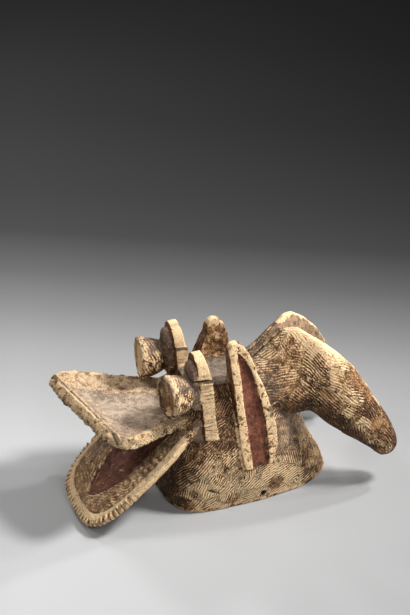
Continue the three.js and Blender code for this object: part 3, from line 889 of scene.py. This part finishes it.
@dataclass(frozen=True)
class Horns(Form):
    """Two horns that fork from a ridge on the crown and droop behind."""

    middle: tuple[Place, ...] = (
        (16, -16, 138), (22, 18, 144), (32, 50, 152), (46, 82, 152),
        (60, 109, 139), (71, 137, 110), (80, 160, 78), (85, 176, 52), (87, 183, 42),
    )
    crest: tuple[Place, ...] = (
        (-6, -4, 24), (-14, 5, 46), (-16, 9, 67), (-2, 8, 58),
        (-2, 20, 38), (-2, 23, 19), (0, 21, 15), (1, 16, 12), (1, 16, 12),
    )
    ridge: tuple[Place, ...] = (
        (8, 6, 172), (8, 23, 190), (9, 40, 203), (11, 52, 212),
    )
    flakes_left: tuple[Spot, ...] = (
        ((97, 137, 96), 12), ((92, 118, 118), 9), ((97, 156, 66), 9),
    )
    steps: int = 90

    def local(self, points: Array) -> tuple[Array, Array, Array]:
        """Where each point lies on the nearest horn's line.

        Args:
            points: Places with both halves laid over the left one.

        Returns:
            The share of the horn's length, the turn round it from its outer side (a quarter is
            the crest) and its line's direction.
        """
        fine = np.linspace(0, len(self.middle) - 1, self.steps)
        rows = np.arange(len(self.middle))
        line = np.stack([np.interp(fine, rows, column) for column in zip(*self.middle)], 1)
        crest = np.stack([np.interp(fine, rows, column) for column in zip(*self.crest)], 1)
        index = nearest(points, line)
        heading = np.gradient(line, axis=0)
        heading /= np.linalg.norm(heading, axis=1)[:, None]
        up = crest - (crest * heading).sum(1)[:, None] * heading
        up /= np.linalg.norm(up, axis=1)[:, None]
        out = np.cross(heading, up)
        away = points - line[index]
        turn = np.arctan2((away * up[index]).sum(1), (away * out[index]).sum(1))
        return index / (self.steps - 1), turn / math.tau, heading[index]

    def ridge_gap(self, skin: Surface) -> Array:
        """Distance in plan from the line up the ridge, on what faces up."""
        level = np.array([1.0, 1.0, 0.0])
        line = tuple((x, y, 0.0) for x, y, _ in self.ridge)
        covered = step(0.3, 0.15, skin.normals[:, 2]) + step(168, 164, skin.points[:, 2])
        return gap_to_line(skin.mirrored * level, line) + 20 * covered

    def share(self, skin: Surface) -> Array:
        """What stands out of the helmet behind the ears."""
        reach = HELMET.reach(skin.points)
        _, y, z = skin.points.T
        out = np.clip(step(1.0, 1.08, reach) + step(160, 172, z), 0, 1)
        return out * step(-12, 6, y) * step(6, 20, z)

    def cut(self, skin: Surface, share: Array) -> None:
        """Long soft facets from the adze, flaked clay low on the horns and a line up the ridge."""
        skin.depth += share * skin.noise(18, 81)
        along, _, _ = self.local(skin.mirrored)
        low = share * step(0.5, 0.62, along)
        skin.depth += low * 0.5 * skin.rough(8, 85)
        skin.depth -= share * step(2.2, 0.8, self.ridge_gap(skin)) * 1.5

    def paint(self, skin: Surface, share: Array) -> None:
        """Dark combed outer side, a broad cream crest, flaked lower half, a worn tip and an underside
        painted dark as shade.
        """
        along, turn, heading = self.local(skin.mirrored)
        patches = skin.rough(24, 82, 4)
        flakes = skin.rough(7, 84)
        edge = turn + 0.02 * patches + 0.012 * flakes
        lower = np.interp(
            along, (0.2, 0.26, 0.3, 0.35, 0.38, 0.42, 0.46, 0.51, 0.6, 0.75),
            (0.27, 0.245, 0.232, 0.215, 0.19, 0.15, 0.07, 0.0, 0.06, 0.15),
        )
        outer = step(lower + 0.015, lower - 0.015, edge) * step(-0.14, -0.08, turn)
        crest = step(lower - 0.015, lower + 0.015, edge) * step(0.275, 0.26, edge)
        inner = step(0.262, 0.28, edge)
        under = step(-0.08, -0.16, edge) * step(-0.45, -0.36, edge)
        high = step(0.56, 0.48, along + 0.02 * patches)
        low = share * (1 - high)
        headed = (heading + np.array([0, 0, -0.35])) * skin.flip
        skin.coat(
            share, grey=0.0, cover=0.5 + 0.35 * patches, marks=0.8 + 0.5 * skin.noise(20, 86),
            pitch=3.5, lines=headed,
        )
        side = share * outer * high
        skin.coat(side, cover=0.4 + 0.3 * patches + 0.15 * flakes, tan=0.5 + 0.5 * patches)
        skin.coat(side * step(0.3, 0.1, along), grey=0.3)
        dark = side * step(0.02, -0.06, edge)
        skin.coat(dark, cover=0.16 + 0.35 * flakes)
        root = side * step(0.17, 0.08, along)
        skin.coat(root, cover=0.27 + 0.3 * patches)
        bright = share * crest * step(0.2, 0.25, along) * step(0.74, 0.42, along + 0.1 * flakes)
        skin.coat(bright, cover=0.88 + 0.25 * patches + 0.2 * flakes, marks=0.4, tan=0.9)
        streak = np.stack([along * 110, turn * 150, 60 * skin.side], 1)
        scaly = step(-0.06, 0.24, rough(streak, 12, 87) + 0.3 * flakes)
        skin.coat(low, cover=0.57 - 0.54 * scaly + 0.2 * flakes, tan=0.45 + 0.5 * patches, marks=0.9)
        skin.coat(low * step(0.05, 0.4, skin.rough(20, 83)), ochre=0.36)
        flaked = bright * step(0.4, 0.66, along + 0.05 * patches)
        skin.coat(flaked, cover=0.85 - 0.9 * scaly + 0.2 * flakes)
        edge_dark = low * step(0.66, 0.74, along) * band(0.1, 0.32, 0.05, edge)
        skin.coat(edge_dark, cover=0.05 + 0.3 * flakes, soot=0.25)
        for place, size in self.flakes_left:
            patch = low * blot(skin.mirrored, place, size, 88)
            skin.coat(patch, cover=0.75 + 0.6 * flakes)
        skin.coat(share * inner, cover=0.02 + 0.3 * flakes, tan=0.6, grey=0.3, soot=0.22, marks=0.25)
        lip = share * band(0.25, 0.272, 0.012, edge) * step(0.22, 0.27, along) * step(0.7, 0.55, along)
        skin.coat(lip, cover=0.95, grey=0.0)
        # The underside is painted dark: painted shade under the horns.
        skin.coat(share * under, cover=0.05 + 0.35 * flakes, tan=0.25, soot=0.3)
        tip = share * step(0.94, 0.98, along) * (1 - under)
        skin.coat(tip, cover=0.6 * flakes)
        gap = self.ridge_gap(skin)
        beside = share * step(6.5, 3.5, gap + 2 * flakes)
        skin.coat(beside, cover=0.62 + 0.7 * flakes)
        # The line up the ridge is painted dark: painted shade in its groove.
        skin.coat(share * step(1.9, 0.9, gap + 0.4 * flakes), soot=0.8)


HELMET = Helmet()
FORMS: tuple[Form, ...] = (
    HELMET, Crown(), Horns(), LowerJaw(), UpperJaw(), BrowPlates(), Eyes(), Ears(),
)

# Small forms that keep their size when the carving is smoothed.
FIRM = (Eyes, Ears, BrowPlates)


class Weight(Enum):
    """How soft a place of the carving may be smoothed."""

    SHARP = 1.5
    SOFT = 7.0


def select_only(piece: bpy.types.Object) -> None:
    """Makes one object the only selected and active one."""
    bpy.ops.object.select_all(action="DESELECT")
    piece.select_set(True)
    bpy.context.view_layer.objects.active = piece


def apply_modifier(piece: bpy.types.Object, kind: str, settings: dict[str, object]) -> None:
    """Adds a modifier and applies it.

    Args:
        piece: The object to change.
        kind: The modifier's type.
        settings: Its properties.
    """
    select_only(piece)
    modifier = piece.modifiers.new(kind.title(), kind)
    for name, value in settings.items():
        setattr(modifier, name, value)
    bpy.ops.object.modifier_apply(modifier=modifier.name)


@dataclass
class CarvedMask:
    """The whole carving, from the rough form to the painted piece."""

    voxel: float = 1.25 * MM
    most_triangles: int = 190_000
    hard_angle: float = math.radians(24)
    horn_angle: float = math.radians(42)
    horns_behind: float = 10.0
    horns_inside: float = 70.0
    horns_above: float = 20.0
    weld: float = 0.01 * MM
    rim_height: float = 0.2
    smoothing: int = 60
    soft_levels: int = 10
    firmness: float = 0.8
    grain_depth: float = 0.16
    most_wear: float = 1.2
    wear_gain: float = 6.0
    wear_spread: int = 3
    paint_range: tuple[float, float] = (-0.5, 1.5)
    stroke_patch: float = 30.0
    stroke_repeat: int = 16
    stroke_swing: float = 0.28
    piece: bpy.types.Object = field(init=False)
    zero: Array = field(init=False)

    def build(self) -> bpy.types.Object:
        """Makes, dresses and places the piece.

        Returns:
            The finished object.
        """
        self.rough_out()
        hard = self.hard_edges()
        self.remesh()
        self.soften(hard)
        self.work()
        self.thin()
        self.paint()
        return self.piece

    def rough_out(self) -> None:
        """Copies the frame's solid and closes its loose triangles into one skin."""
        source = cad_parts[NODE]
        self.piece = bpy.data.objects.new("worn_mask", source.data.copy())
        bpy.context.scene.collection.objects.link(self.piece)
        select_only(self.piece)
        bpy.ops.object.mode_set(mode="EDIT")
        bpy.ops.mesh.select_all(action="SELECT")
        bpy.ops.mesh.remove_doubles(threshold=self.weld)
        bpy.ops.object.mode_set(mode="OBJECT")
        points = self.places()
        rim = points[points[:, 2] < self.rim_height]
        self.zero = np.array([0.0, rim[:, 1].min() + ZERO_BEHIND_RIM_FRONT, 0.0])
        LOG.info("rough form: %d vertices, zero at y %.2f mm", len(points), self.zero[1])

    def places(self) -> Array:
        """The vertices in millimetres in the frame."""
        mesh = self.piece.data
        flat = np.empty(len(mesh.vertices) * 3, np.float32)
        mesh.vertices.foreach_get("co", flat)
        return flat.reshape(-1, 3).astype(float) / MM

    def skin(self) -> Surface:
        """The vertices and normals in millimetres from the carving's zero."""
        mesh = self.piece.data
        flat = np.empty(len(mesh.vertices) * 3, np.float32)
        mesh.vertex_normals.foreach_get("vector", flat)
        return Surface(self.places() - self.zero, flat.reshape(-1, 3).astype(float))

    def hard_edges(self) -> kdtree.KDTree:
        """Finds the arrises that stay crisp.

        Returns:
            A tree of places about a millimetre apart along them.
        """
        shape = bmesh.new()
        shape.from_mesh(self.piece.data)
        places = []
        for edge in shape.edges:
            if len(edge.link_faces) != 2 or not edge.is_convex:
                continue
            a, b = (vertex.co / MM - Vector(self.zero) for vertex in edge.verts)
            behind = a.y > self.horns_behind and (abs(a.x) < self.horns_inside or a.z > self.horns_above)
            if edge.calc_face_angle(0) < (self.horn_angle if behind else self.hard_angle):
                continue
            count = max(1, round((b - a).length))
            places += [a.lerp(b, index / count) for index in range(count + 1)]
        shape.free()
        tree = kdtree.KDTree(len(places))
        for index, place in enumerate(places):
            tree.insert(place, index)
        tree.balance()
        LOG.info("hard edges: %d places", len(places))
        return tree

    def remesh(self) -> None:
        """Gives the skin an even fine mesh."""
        apply_modifier(self.piece, "REMESH", {"mode": "VOXEL", "voxel_size": self.voxel})
        LOG.info("fine mesh: %d vertices", len(self.piece.data.vertices))

    def soften(self, hard: kdtree.KDTree) -> None:
        """Rounds off the facets of the rough form, and the arrises a little.

        Args:
            hard: Places along the arrises.
        """
        group = self.piece.vertex_groups.new(name="soft")
        gaps = np.array([hard.find(place)[2] for place in self.places() - self.zero])
        skin = self.skin()
        firm = np.max([form.share(skin) for form in FORMS if isinstance(form, FIRM)], axis=0)
        soft = step(Weight.SHARP.value, Weight.SOFT.value, gaps) * (1 - self.firmness * firm)
        levels = np.round(soft * self.soft_levels).astype(int)
        for level in range(1, self.soft_levels + 1):
            places = np.flatnonzero(levels == level).tolist()
            group.add(places, level / self.soft_levels, "REPLACE")
        apply_modifier(
            self.piece, "SMOOTH", {"factor": 0.5, "iterations": self.smoothing, "vertex_group": "soft"}
        )
        apply_modifier(self.piece, "SMOOTH", {"factor": 0.5, "iterations": 1})

    def work(self) -> None:
        """Cuts the fine forms and wears the arrises."""
        skin = self.skin()
        skin.treat(FORMS, "cut")
        skin.depth += self.grain_depth * skin.noise(3.1, 1)
        sharp = self.sharpness(skin)
        chips = step(0.15, 0.75, skin.noise(7, 2) + 0.4 * skin.noise(2.6, 4))
        skin.depth -= np.clip(sharp, 0, self.most_wear) * (0.15 + 0.9 * chips)
        skin.depth *= 1 - 0.8 * HELMET.inside(skin)
        moved = skin.points + skin.normals * skin.depth[:, None]
        moved[:, 2] = np.maximum(moved[:, 2], 0)
        flat = ((moved + self.zero) * MM).astype(np.float32).ravel()
        self.piece.data.vertices.foreach_set("co", flat)
        self.piece.data.update()

    def sharpness(self, skin: Surface) -> Array:
        """How much each vertex stands proud of its neighbours and wears, spread a little."""
        mesh = self.piece.data
        pairs = np.empty(len(mesh.edges) * 2, np.int32)
        mesh.edges.foreach_get("vertices", pairs)
        a, b = pairs.reshape(-1, 2).T
        count = len(skin.points)
        near = np.bincount(a, minlength=count) + np.bincount(b, minlength=count)
        mean = np.empty((count, 3))
        for axis in range(3):
            column = skin.points[:, axis]
            mean[:, axis] = np.bincount(a, column[b], count) + np.bincount(b, column[a], count)
        proud = ((skin.points - mean / near[:, None]) * skin.normals).sum(1) * self.wear_gain
        for _ in range(self.wear_spread):
            spread = np.bincount(a, proud[b], count) + np.bincount(b, proud[a], count)
            proud = 0.5 * proud + 0.5 * spread / near
        return proud

    def thin(self) -> None:
        """Brings the mesh under the most triangles a piece may have."""
        quads = len(self.piece.data.polygons)
        ratio = min(1.0, self.most_triangles / (2 * quads))
        apply_modifier(self.piece, "DECIMATE", {"ratio": ratio, "use_collapse_triangulate": True})
        self.piece.data.polygons.foreach_set("use_smooth", [True] * len(self.piece.data.polygons))
        LOG.info("thinned: %d triangles", len(self.piece.data.polygons))

    def paint(self) -> None:
        """Writes each point's paint and strokes as attributes, and gives the piece its finish."""
        skin = self.skin()
        skin.treat(FORMS, "paint")
        mesh = self.piece.data
        for name in PAINT:
            values = getattr(skin, name)
            values = values if name == "count" else np.clip(values, *self.paint_range)
            self.carry(name, "FLOAT", "value", values)
        self.carry("stroke", "FLOAT_VECTOR", "vector", self.strokes(skin))
        mesh.materials.clear()
        mesh.materials.append(ClayOnWood().material())

    def carry(self, name: str, kind: str, slot: str, values: Array) -> None:
        """Writes one quality of each point as an attribute of the mesh."""
        quality = self.piece.data.attributes.new(name, kind, "POINT")
        quality.data.foreach_set(slot, values.astype(np.float32).ravel())

    def strokes(self, skin: Surface) -> Array:
        """Direction across the tool strokes, one for each patch that was scraped in one go.

        Args:
            skin: The painted points.

        Returns:
            For each point a vector across the strokes, as long as strokes per millimetre.
        """
        cell = np.floor(skin.points / self.stroke_patch).astype(int)
        rng = np.random.default_rng(SEED)
        jitter = rng.random((*(self.stroke_repeat,) * 3, 3))
        best = np.full(len(cell), np.inf)
        key = np.zeros((len(cell), 3), int)
        for shift in np.ndindex(3, 3, 3):
            near = cell + np.array(shift) - 1
            wrapped = near % self.stroke_repeat
            centre = (near + jitter[tuple(wrapped.T)]) * self.stroke_patch
            gap = ((skin.points - centre) ** 2).sum(1)
            closer = gap < best
            best[closer] = gap[closer]
            key[closer] = near[closer]
        facing = (skin.normals > 0) @ np.array([1, 2, 4])
        _, patch = np.unique(np.column_stack([key, facing]), axis=0, return_inverse=True)
        patch = patch.ravel()
        count = patch.max() + 1
        size = np.bincount(patch, minlength=count)[:, None]

        def mean(values: Array) -> Array:
            """Mean of a vector over each patch."""
            return np.stack([np.bincount(patch, column, count) for column in values.T], 1) / size

        normal, line = mean(skin.normals), mean(skin.lines)
        normal /= np.maximum(np.linalg.norm(normal, axis=1), 1e-6)[:, None]
        across = np.cross(normal, line)
        across /= np.maximum(np.linalg.norm(across, axis=1), 1e-6)[:, None]
        swing = rng.normal(0, self.stroke_swing, count)[:, None]
        turned = across * np.cos(swing) + np.cross(normal, across) * np.sin(swing)
        return turned[patch] / skin.pitch[:, None]


def linear(colour: str) -> tuple[float, float, float, float]:
    """Turns an sRGB hex colour into linear light.

    Args:
        colour: Six hex digits after a hash sign.

    Returns:
        Red, green, blue and an alpha of 1.
    """
    parts = [int(colour[index : index + 2], 16) / 255 for index in (1, 3, 5)]
    light = [part / 12.92 if part <= 0.04045 else ((part + 0.055) / 1.055) ** 2.4 for part in parts]
    return (*light, 1.0)


def add(
    tree: bpy.types.NodeTree, kind: str, settings: dict[str, object], links: dict[int | str, object]
) -> bpy.types.Node:
    """Adds a node with its settings and inputs.

    Args:
        tree: The node tree.
        kind: The node's type.
        settings: Its properties; the key "stops" sets a colour ramp's places and colours.
        links: For each input, by number or name, a socket to link or a value to set.

    Returns:
        The new node.
    """
    node = tree.nodes.new(kind)
    for name, value in settings.items():
        if name == "stops":
            ramp = node.color_ramp
            while len(ramp.elements) < len(value):
                ramp.elements.new(0.5)
            for element, (place, colour) in zip(ramp.elements, value):
                element.position = place
                element.color = linear(colour)
        else:
            setattr(node, name, value)
    for name, value in links.items():
        if isinstance(value, Socket):
            tree.links.new(value, node.inputs[name])
        else:
            node.inputs[name].default_value = value
    return node


@dataclass
class Wiring:
    """A new material's node tree, with short ways to join signals in it."""

    name: str
    material: bpy.types.Material = field(init=False)
    tree: bpy.types.NodeTree = field(init=False)

    def __post_init__(self) -> None:
        """Makes the material, with no nodes yet."""
        self.material = bpy.data.materials.new(self.name)
        self.material.use_nodes = True
        self.tree = self.material.node_tree
        self.tree.nodes.clear()

    def place(self) -> Socket:
        """Places in the object's own coordinates, in metres."""
        return add(self.tree, "ShaderNodeTexCoord", {}, {}).outputs["Object"]

    def attribute(self, name: str, output: str = "Fac") -> Socket:
        """One of the qualities that the mesh carries."""
        return add(self.tree, "ShaderNodeAttribute", {"attribute_name": name}, {}).outputs[output]

    def math(self, operation: str, *values: Signal, clamp: bool = False) -> Socket:
        """Result of a sum with up to three signals."""
        settings = {"operation": operation, "use_clamp": clamp}
        return add(self.tree, "ShaderNodeMath", settings, dict(enumerate(values))).outputs[0]

    def dot(self, vector: Socket, along: Socket | Place) -> Socket:
        """How far a vector reaches along another, times that one's length."""
        settings = {"operation": "DOT_PRODUCT"}
        return add(self.tree, "ShaderNodeVectorMath", settings, {0: vector, 1: along}).outputs["Value"]

    def scaled(self, vector: Socket, factor: Signal) -> Socket:
        """A vector or a colour times a number."""
        links = {0: vector, "Scale": factor}
        return add(self.tree, "ShaderNodeVectorMath", {"operation": "SCALE"}, links).outputs[0]

    def spread(
        self,
        signal: Socket,
        old: tuple[float, float] = (0.0, 1.0),
        new: tuple[float, float] = (0.0, 1.0),
        kind: str = "LINEAR",
    ) -> Socket:
        """Maps one range of a signal onto another and clamps it there.

        Args:
            signal: What is mapped.
            old: The range's ends before.
            new: The range's ends after.
            kind: How it runs between them.

        Returns:
            The mapped signal.
        """
        links = {0: signal, "From Min": old[0], "From Max": old[1], "To Min": new[0], "To Max": new[1]}
        return add(self.tree, "ShaderNodeMapRange", {"interpolation_type": kind}, links).outputs[0]

    def weighted(self, start: Signal, *parts: tuple[Socket, Signal, float]) -> Socket:
        """Adds weighted signals to a start, each taken from its middle of a half.

        Args:
            start: What the sum starts from.
            parts: For each signal, what it is multiplied by and a further weight.

        Returns:
            The sum.
        """
        total = start
        for signal, factor, weight in parts:
            part = self.math("MULTIPLY", self.math("SUBTRACT", signal, 0.5), factor)
            total = self.math("MULTIPLY_ADD", part, weight, total)
        return total

    def ramp(self, signal: Socket, stops: tuple[tuple[float, str], ...]) -> Socket:
        """Colours along a signal."""
        return add(self.tree, "ShaderNodeValToRGB", {"stops": stops}, {0: signal}).outputs[0]

    def over(self, share: Socket, below: Socket, above: Socket | tuple[float, ...]) -> Socket:
        """One layer of colour over another."""
        settings = {"data_type": "RGBA", "clamp_factor": True}
        return add(self.tree, "ShaderNodeMix", settings, {0: share, 6: below, 7: above}).outputs[2]

    def surface(self, links: dict[int | str, object]) -> bpy.types.Material:
        """Ends the tree with a surface of these inputs, and gives the material."""
        shader = add(self.tree, "ShaderNodeBsdfPrincipled", {}, links)
        add(self.tree, "ShaderNodeOutputMaterial", {}, {"Surface": shader.outputs[0]})
        return self.material


@dataclass
class Signals:
    """What steers the layers of clay: the paint, specks of a few sizes, and the tool's traces."""

    paint: dict[str, Socket]
    grain: Socket
    flake: Socket
    patch: Socket
    stain: Socket
    ridge: Socket | None = None
    cut: Socket | None = None


@dataclass(frozen=True)
class ClayOnWood:
    """Kaolin brushed on carved hardwood that use has rubbed, smoked and chipped, with shade painted dark
    into its grooves, holes and undersides.

    The clay is chalky and matt, cream where thick and tan where it is rubbed thin, and it breaks
    away in flakes along the tool strokes, where the dark wood shows with a dull shine.
    """

    clay: tuple[str, ...] = ("#785535", "#a57d54", "#c9a276", "#e6c99f")
    wood: tuple[str, ...] = ("#20150d", "#41291a", "#5f4029", "#7b583a")
    rubbed: tuple[str, ...] = ("#523620", "#7d5836", "#9e754b", "#b98f61")
    ochre: tuple[str, ...] = ("#43211a", "#70402c", "#8f5a45")
    ash: tuple[str, ...] = ("#8a7867", "#ab9682", "#c6b29c")
    knife: str = "#2a1c12"
    # Near black for soot on the wood, also used as painted shade in grooves, holes and under overhangs.
    soot: str = "#0f0b08"
    grain: tuple[float, float] = (0.9, 1.0)
    flake: tuple[float, float] = (1.9, 3.0)
    patch: tuple[float, float] = (7.0, 4.0)
    stain: tuple[float, float] = (30.0, 2.0)
    bump: float = 0.9 * MM
    roughness: tuple[float, float] = (0.6, 0.92)
    refraction: float = 1.45
    shine: float = 0.3

    def material(self) -> bpy.types.Material:
        """Builds the material.

        Returns:
            The material, which reads the paint attributes of the piece.
        """
        wires = Wiring("kaolin_on_carved_wood")
        place = wires.scaled(wires.place(), 1 / MM)
        specks = []
        for size, detail in (self.grain, self.flake, self.patch, self.stain):
            links = {"Vector": place, "Scale": 1 / size, "Detail": detail, "Roughness": 0.6}
            specks.append(add(wires.tree, "ShaderNodeTexNoise", {}, links).outputs["Fac"])
        by = Signals({name: wires.attribute(name) for name in PAINT}, *specks)
        by.ridge = self.strokes(wires, place, by)
        by.cut = self.cuts(wires, by)
        thick, clay = self.clay_share(wires, by)
        height = wires.weighted(
            0.5, (by.ridge, by.paint["marks"], 0.4), (clay, 1.0, 0.3), (by.cut, 1.0, -0.9),
            (by.flake, 1.0, 0.8), (by.grain, 1.0, 0.5),
        )
        relief = {"Height": height, "Strength": 1.0, "Distance": self.bump}
        return wires.surface({
            "Base Color": self.colour(wires, by, thick, clay),
            "Roughness": wires.spread(clay, new=self.roughness),
            "Normal": add(wires.tree, "ShaderNodeBump", {}, relief).outputs[0],
            "IOR": self.refraction,
            "Specular IOR Level": self.shine,
        })

    def strokes(self, wires: Wiring, place: Socket, by: Signals) -> Socket:
        """Ridges between the parallel strokes of a toothed scraper, 0 to 1."""
        count = wires.dot(place, wires.attribute("stroke", "Vector"))
        wander = wires.weighted(count, (by.stain, 1.0, 2.2), (by.patch, 1.0, 0.9))
        return wires.spread(wires.math("SINE", wires.math("MULTIPLY", wander, math.tau)), (-0.8, 0.8))

    def cuts(self, wires: Wiring, by: Signals) -> Socket:
        """Dark of the short knife cuts along the rims, 0 to 1."""
        count = wires.weighted(by.paint["count"], (by.flake, 1.0, 0.25))
        wave = wires.math("COSINE", wires.math("MULTIPLY", count, math.tau))
        line = wires.spread(wave, (0.35, 0.85), kind="SMOOTHSTEP")
        return wires.math("MULTIPLY", line, by.paint["cuts"], clamp=True)

    def clay_share(self, wires: Wiring, by: Signals) -> tuple[Socket, Socket]:
        """How thick the clay is, and where it holds at all, both about 0 to 1."""
        held = wires.weighted(by.paint["cover"], (by.patch, 1.0, 1.3), (by.flake, 1.0, 0.8))
        held = wires.spread(held, (0.1, 0.9), (0.12, 0.84), "SMOOTHSTEP")
        thick = wires.weighted(
            held, (by.ridge, by.paint["marks"], 0.72), (by.flake, 1.0, 0.8), (by.grain, 1.0, 0.6)
        )
        thick = wires.math("MULTIPLY_ADD", by.cut, -0.75, thick)
        return thick, wires.spread(thick, (0.26, 0.62), kind="SMOOTHSTEP")

    def colour(self, wires: Wiring, by: Signals, thick: Socket, clay: Socket) -> Socket:
        """Lays wood, rubbed clay, ochre, clay, ash, knife cuts, and soot with painted shade over each
        other.
        """

        def tone(colours: tuple[str, ...], signal: Socket, high: float = 0.72) -> Socket:
            """A layer's colours, spread over the middle of a signal."""
            places = np.linspace(0.3, high, len(colours)).tolist()
            return wires.ramp(signal, tuple(zip(places, colours)))

        def flaked(name: str) -> Socket:
            """Where a layer holds, with a broken edge."""
            held = wires.weighted(by.paint[name], (by.patch, 1.0, 1.2), (by.flake, 1.0, 0.9))
            return wires.spread(held, (0.36, 0.64), kind="SMOOTHSTEP")

        blend = wires.weighted(
            0.5, (by.patch, 1.0, 0.8), (by.flake, 1.0, 0.8), (by.grain, 1.0, 0.4), (by.stain, 1.0, 0.6)
        )
        struck = wires.weighted(blend, (by.ridge, by.paint["marks"], 0.2))
        base = tone(self.wood, struck)
        for share, above in (
            (flaked("tan"), tone(self.rubbed, struck)),
            (flaked("ochre"), tone(self.ochre, blend)),
            (clay, tone(self.clay, thick, 0.9)),
            (by.paint["grey"], tone(self.ash, struck)),
            (by.cut, linear(self.knife)),
            (by.paint["soot"], linear(self.soot)),
        ):
            base = wires.over(share, base, above)
        return base


@dataclass(frozen=True)
class Lamp:
    """A round soft light that faces the mask: where it stands, its width and its power."""

    name: str
    azimuth: float
    elevation: float
    distance: float
    size: float
    power: float


@dataclass
class Studio:
    """Pale floor painted darker with the light's falloff, three lamps behind the mask, three broad ones
    round it, a camera.
    """

    zero: Array
    azimuth: float = math.radians(68)
    elevation: float = math.radians(33)
    distance: float = 2.0
    yaw: float = math.radians(-69.71)
    pitch: float = math.radians(26.56)
    focal: float = 83.62
    sensor: float = 36.0
    floor_size: float = 14.0
    floor_z: float = -0.2 * MM
    # How much darker the paper's right side is: painted shade of the light falling off.
    right_painted_shade: float = 0.52
    edge: float = 0.14
    turned: float = 0.12
    # Paper colour by depth in millimetres, darker far off and lighter again at the back: painted falloff
    # of the light.
    paper: tuple[tuple[float, str], ...] = (
        (-450, "#b9b9b9"), (-120, "#b8b8b8"), (-30, "#b7b7b7"), (75, "#b4b4b4"), (190, "#a6a6a6"),
        (315, "#989898"), (455, "#7e7e7e"), (610, "#606060"), (785, "#444444"), (985, "#3f3f3f"),
        (1470, "#3c3c3c"), (2130, "#424242"), (2650, "#4b4b4b"),
    )
    lamps: tuple[Lamp, ...] = (
        Lamp("key", 188, 45, 1.1, 0.08, 5.2),
        Lamp("second", 174, 49, 1.6, 0.14, 5),
        Lamp("soft", 158, 56, 1.5, 0.26, 28),
        Lamp("far", 286, 38, 2.4, 0.4, 18),
        Lamp("front", 335, 44, 2.4, 0.6, 10),
        Lamp("screen", 92, 36, 2.2, 1.4, 17),
    )
    air: str = "#d2d2d4"
    air_strength: float = 0.12
    aim: float = 100 * MM

    def set_up(self) -> None:
        """Makes the floor, the lights and the camera."""
        self.floor()
        self.lights()
        self.camera()

    def at(self, azimuth: float, elevation: float, distance: float) -> Vector:
        """A place round the carving's zero."""
        level = math.cos(elevation) * distance
        away = (math.sin(azimuth) * level, -math.cos(azimuth) * level, math.sin(elevation) * distance)
        return Vector(self.zero) * MM + Vector(away)

    def stand(self, data: bpy.types.ID, place: Vector) -> bpy.types.Object:
        """Puts a camera or a light in the scene."""
        thing = bpy.data.objects.new(data.name, data)
        bpy.context.scene.collection.objects.link(thing)
        thing.location = place
        return thing

    def camera(self) -> None:
        """Places the camera as the photographer stood."""
        data = bpy.data.cameras.new("camera")
        data.lens = self.focal
        data.sensor_width = self.sensor
        camera = self.stand(data, self.at(self.azimuth, self.elevation, self.distance))
        camera.rotation_euler = (math.pi / 2 - self.pitch, 0, -self.yaw)
        bpy.context.scene.camera = camera

    def floor(self) -> None:
        """Lays the sheet of paper."""
        bpy.ops.object.select_all(action="DESELECT")
        bpy.ops.mesh.primitive_plane_add(size=self.floor_size, location=(0, 0, self.floor_z))
        floor = bpy.context.active_object
        floor.name = "studio_floor"
        floor.data.materials.append(self.paper_with_painted_falloff())

    def paper_with_painted_falloff(self) -> bpy.types.Material:
        """Matt paper whose colour darkens away from the camera and towards its right: the light's
        falloff painted in.
        """
        wires = Wiring("paper_with_painted_falloff")
        place = wires.place()
        sin, cos = math.sin(self.azimuth), math.cos(self.azimuth)
        depth = wires.dot(place, (-sin, cos, 0))
        aside = wires.dot(place, (cos, sin, 0))
        start, end = self.paper[0][0], self.paper[-1][0]
        slanted = wires.math("MULTIPLY_ADD", aside, self.turned, depth)
        share = wires.spread(slanted, (start * MM, end * MM))
        stops = tuple(((far - start) / (end - start), colour) for far, colour in self.paper)
        slant = wires.math("DIVIDE", aside, wires.math("ADD", depth, self.distance))
        dim = wires.spread(slant, (-self.edge, self.edge), (1.0, self.right_painted_shade))
        tone = wires.scaled(wires.ramp(share, stops), dim)
        return wires.surface({"Base Color": tone, "Roughness": 0.9, "Specular IOR Level": 0.1})

    def lights(self) -> None:
        """Hangs the lamps and fills the air with dim light."""
        for lamp in self.lamps:
            self.light(lamp)
        world = bpy.data.worlds.new("studio_air")
        world.use_nodes = True
        air = world.node_tree.nodes["Background"]
        air.inputs[0].default_value = linear(self.air)
        air.inputs[1].default_value = self.air_strength
        bpy.context.scene.world = world
        bpy.context.scene.view_settings.view_transform = "Standard"

    def light(self, lamp: Lamp) -> None:
        """Adds a round area light that faces the mask."""
        data = bpy.data.lights.new(lamp.name, "AREA")
        data.shape = "DISK"
        data.size = lamp.size
        data.energy = lamp.power
        place = self.at(math.radians(lamp.azimuth), math.radians(lamp.elevation), lamp.distance)
        target = Vector(self.zero) * MM + Vector((0, 0, self.aim))
        light = self.stand(data, place)
        light.rotation_euler = (target - place).to_track_quat("-Z", "Y").to_euler()


def main() -> None:
    """Builds the mask and its studio, and reports them."""
    logging.basicConfig(level=logging.INFO, format="%(name)s: %(message)s")
    mask = CarvedMask()
    piece = mask.build()
    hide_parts(NODE)
    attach(piece, "root")
    LOG.info("%s: %d triangles", piece.name, len(piece.data.polygons))
    Studio(mask.zero).set_up()


if __name__ == "__main__":
    main()
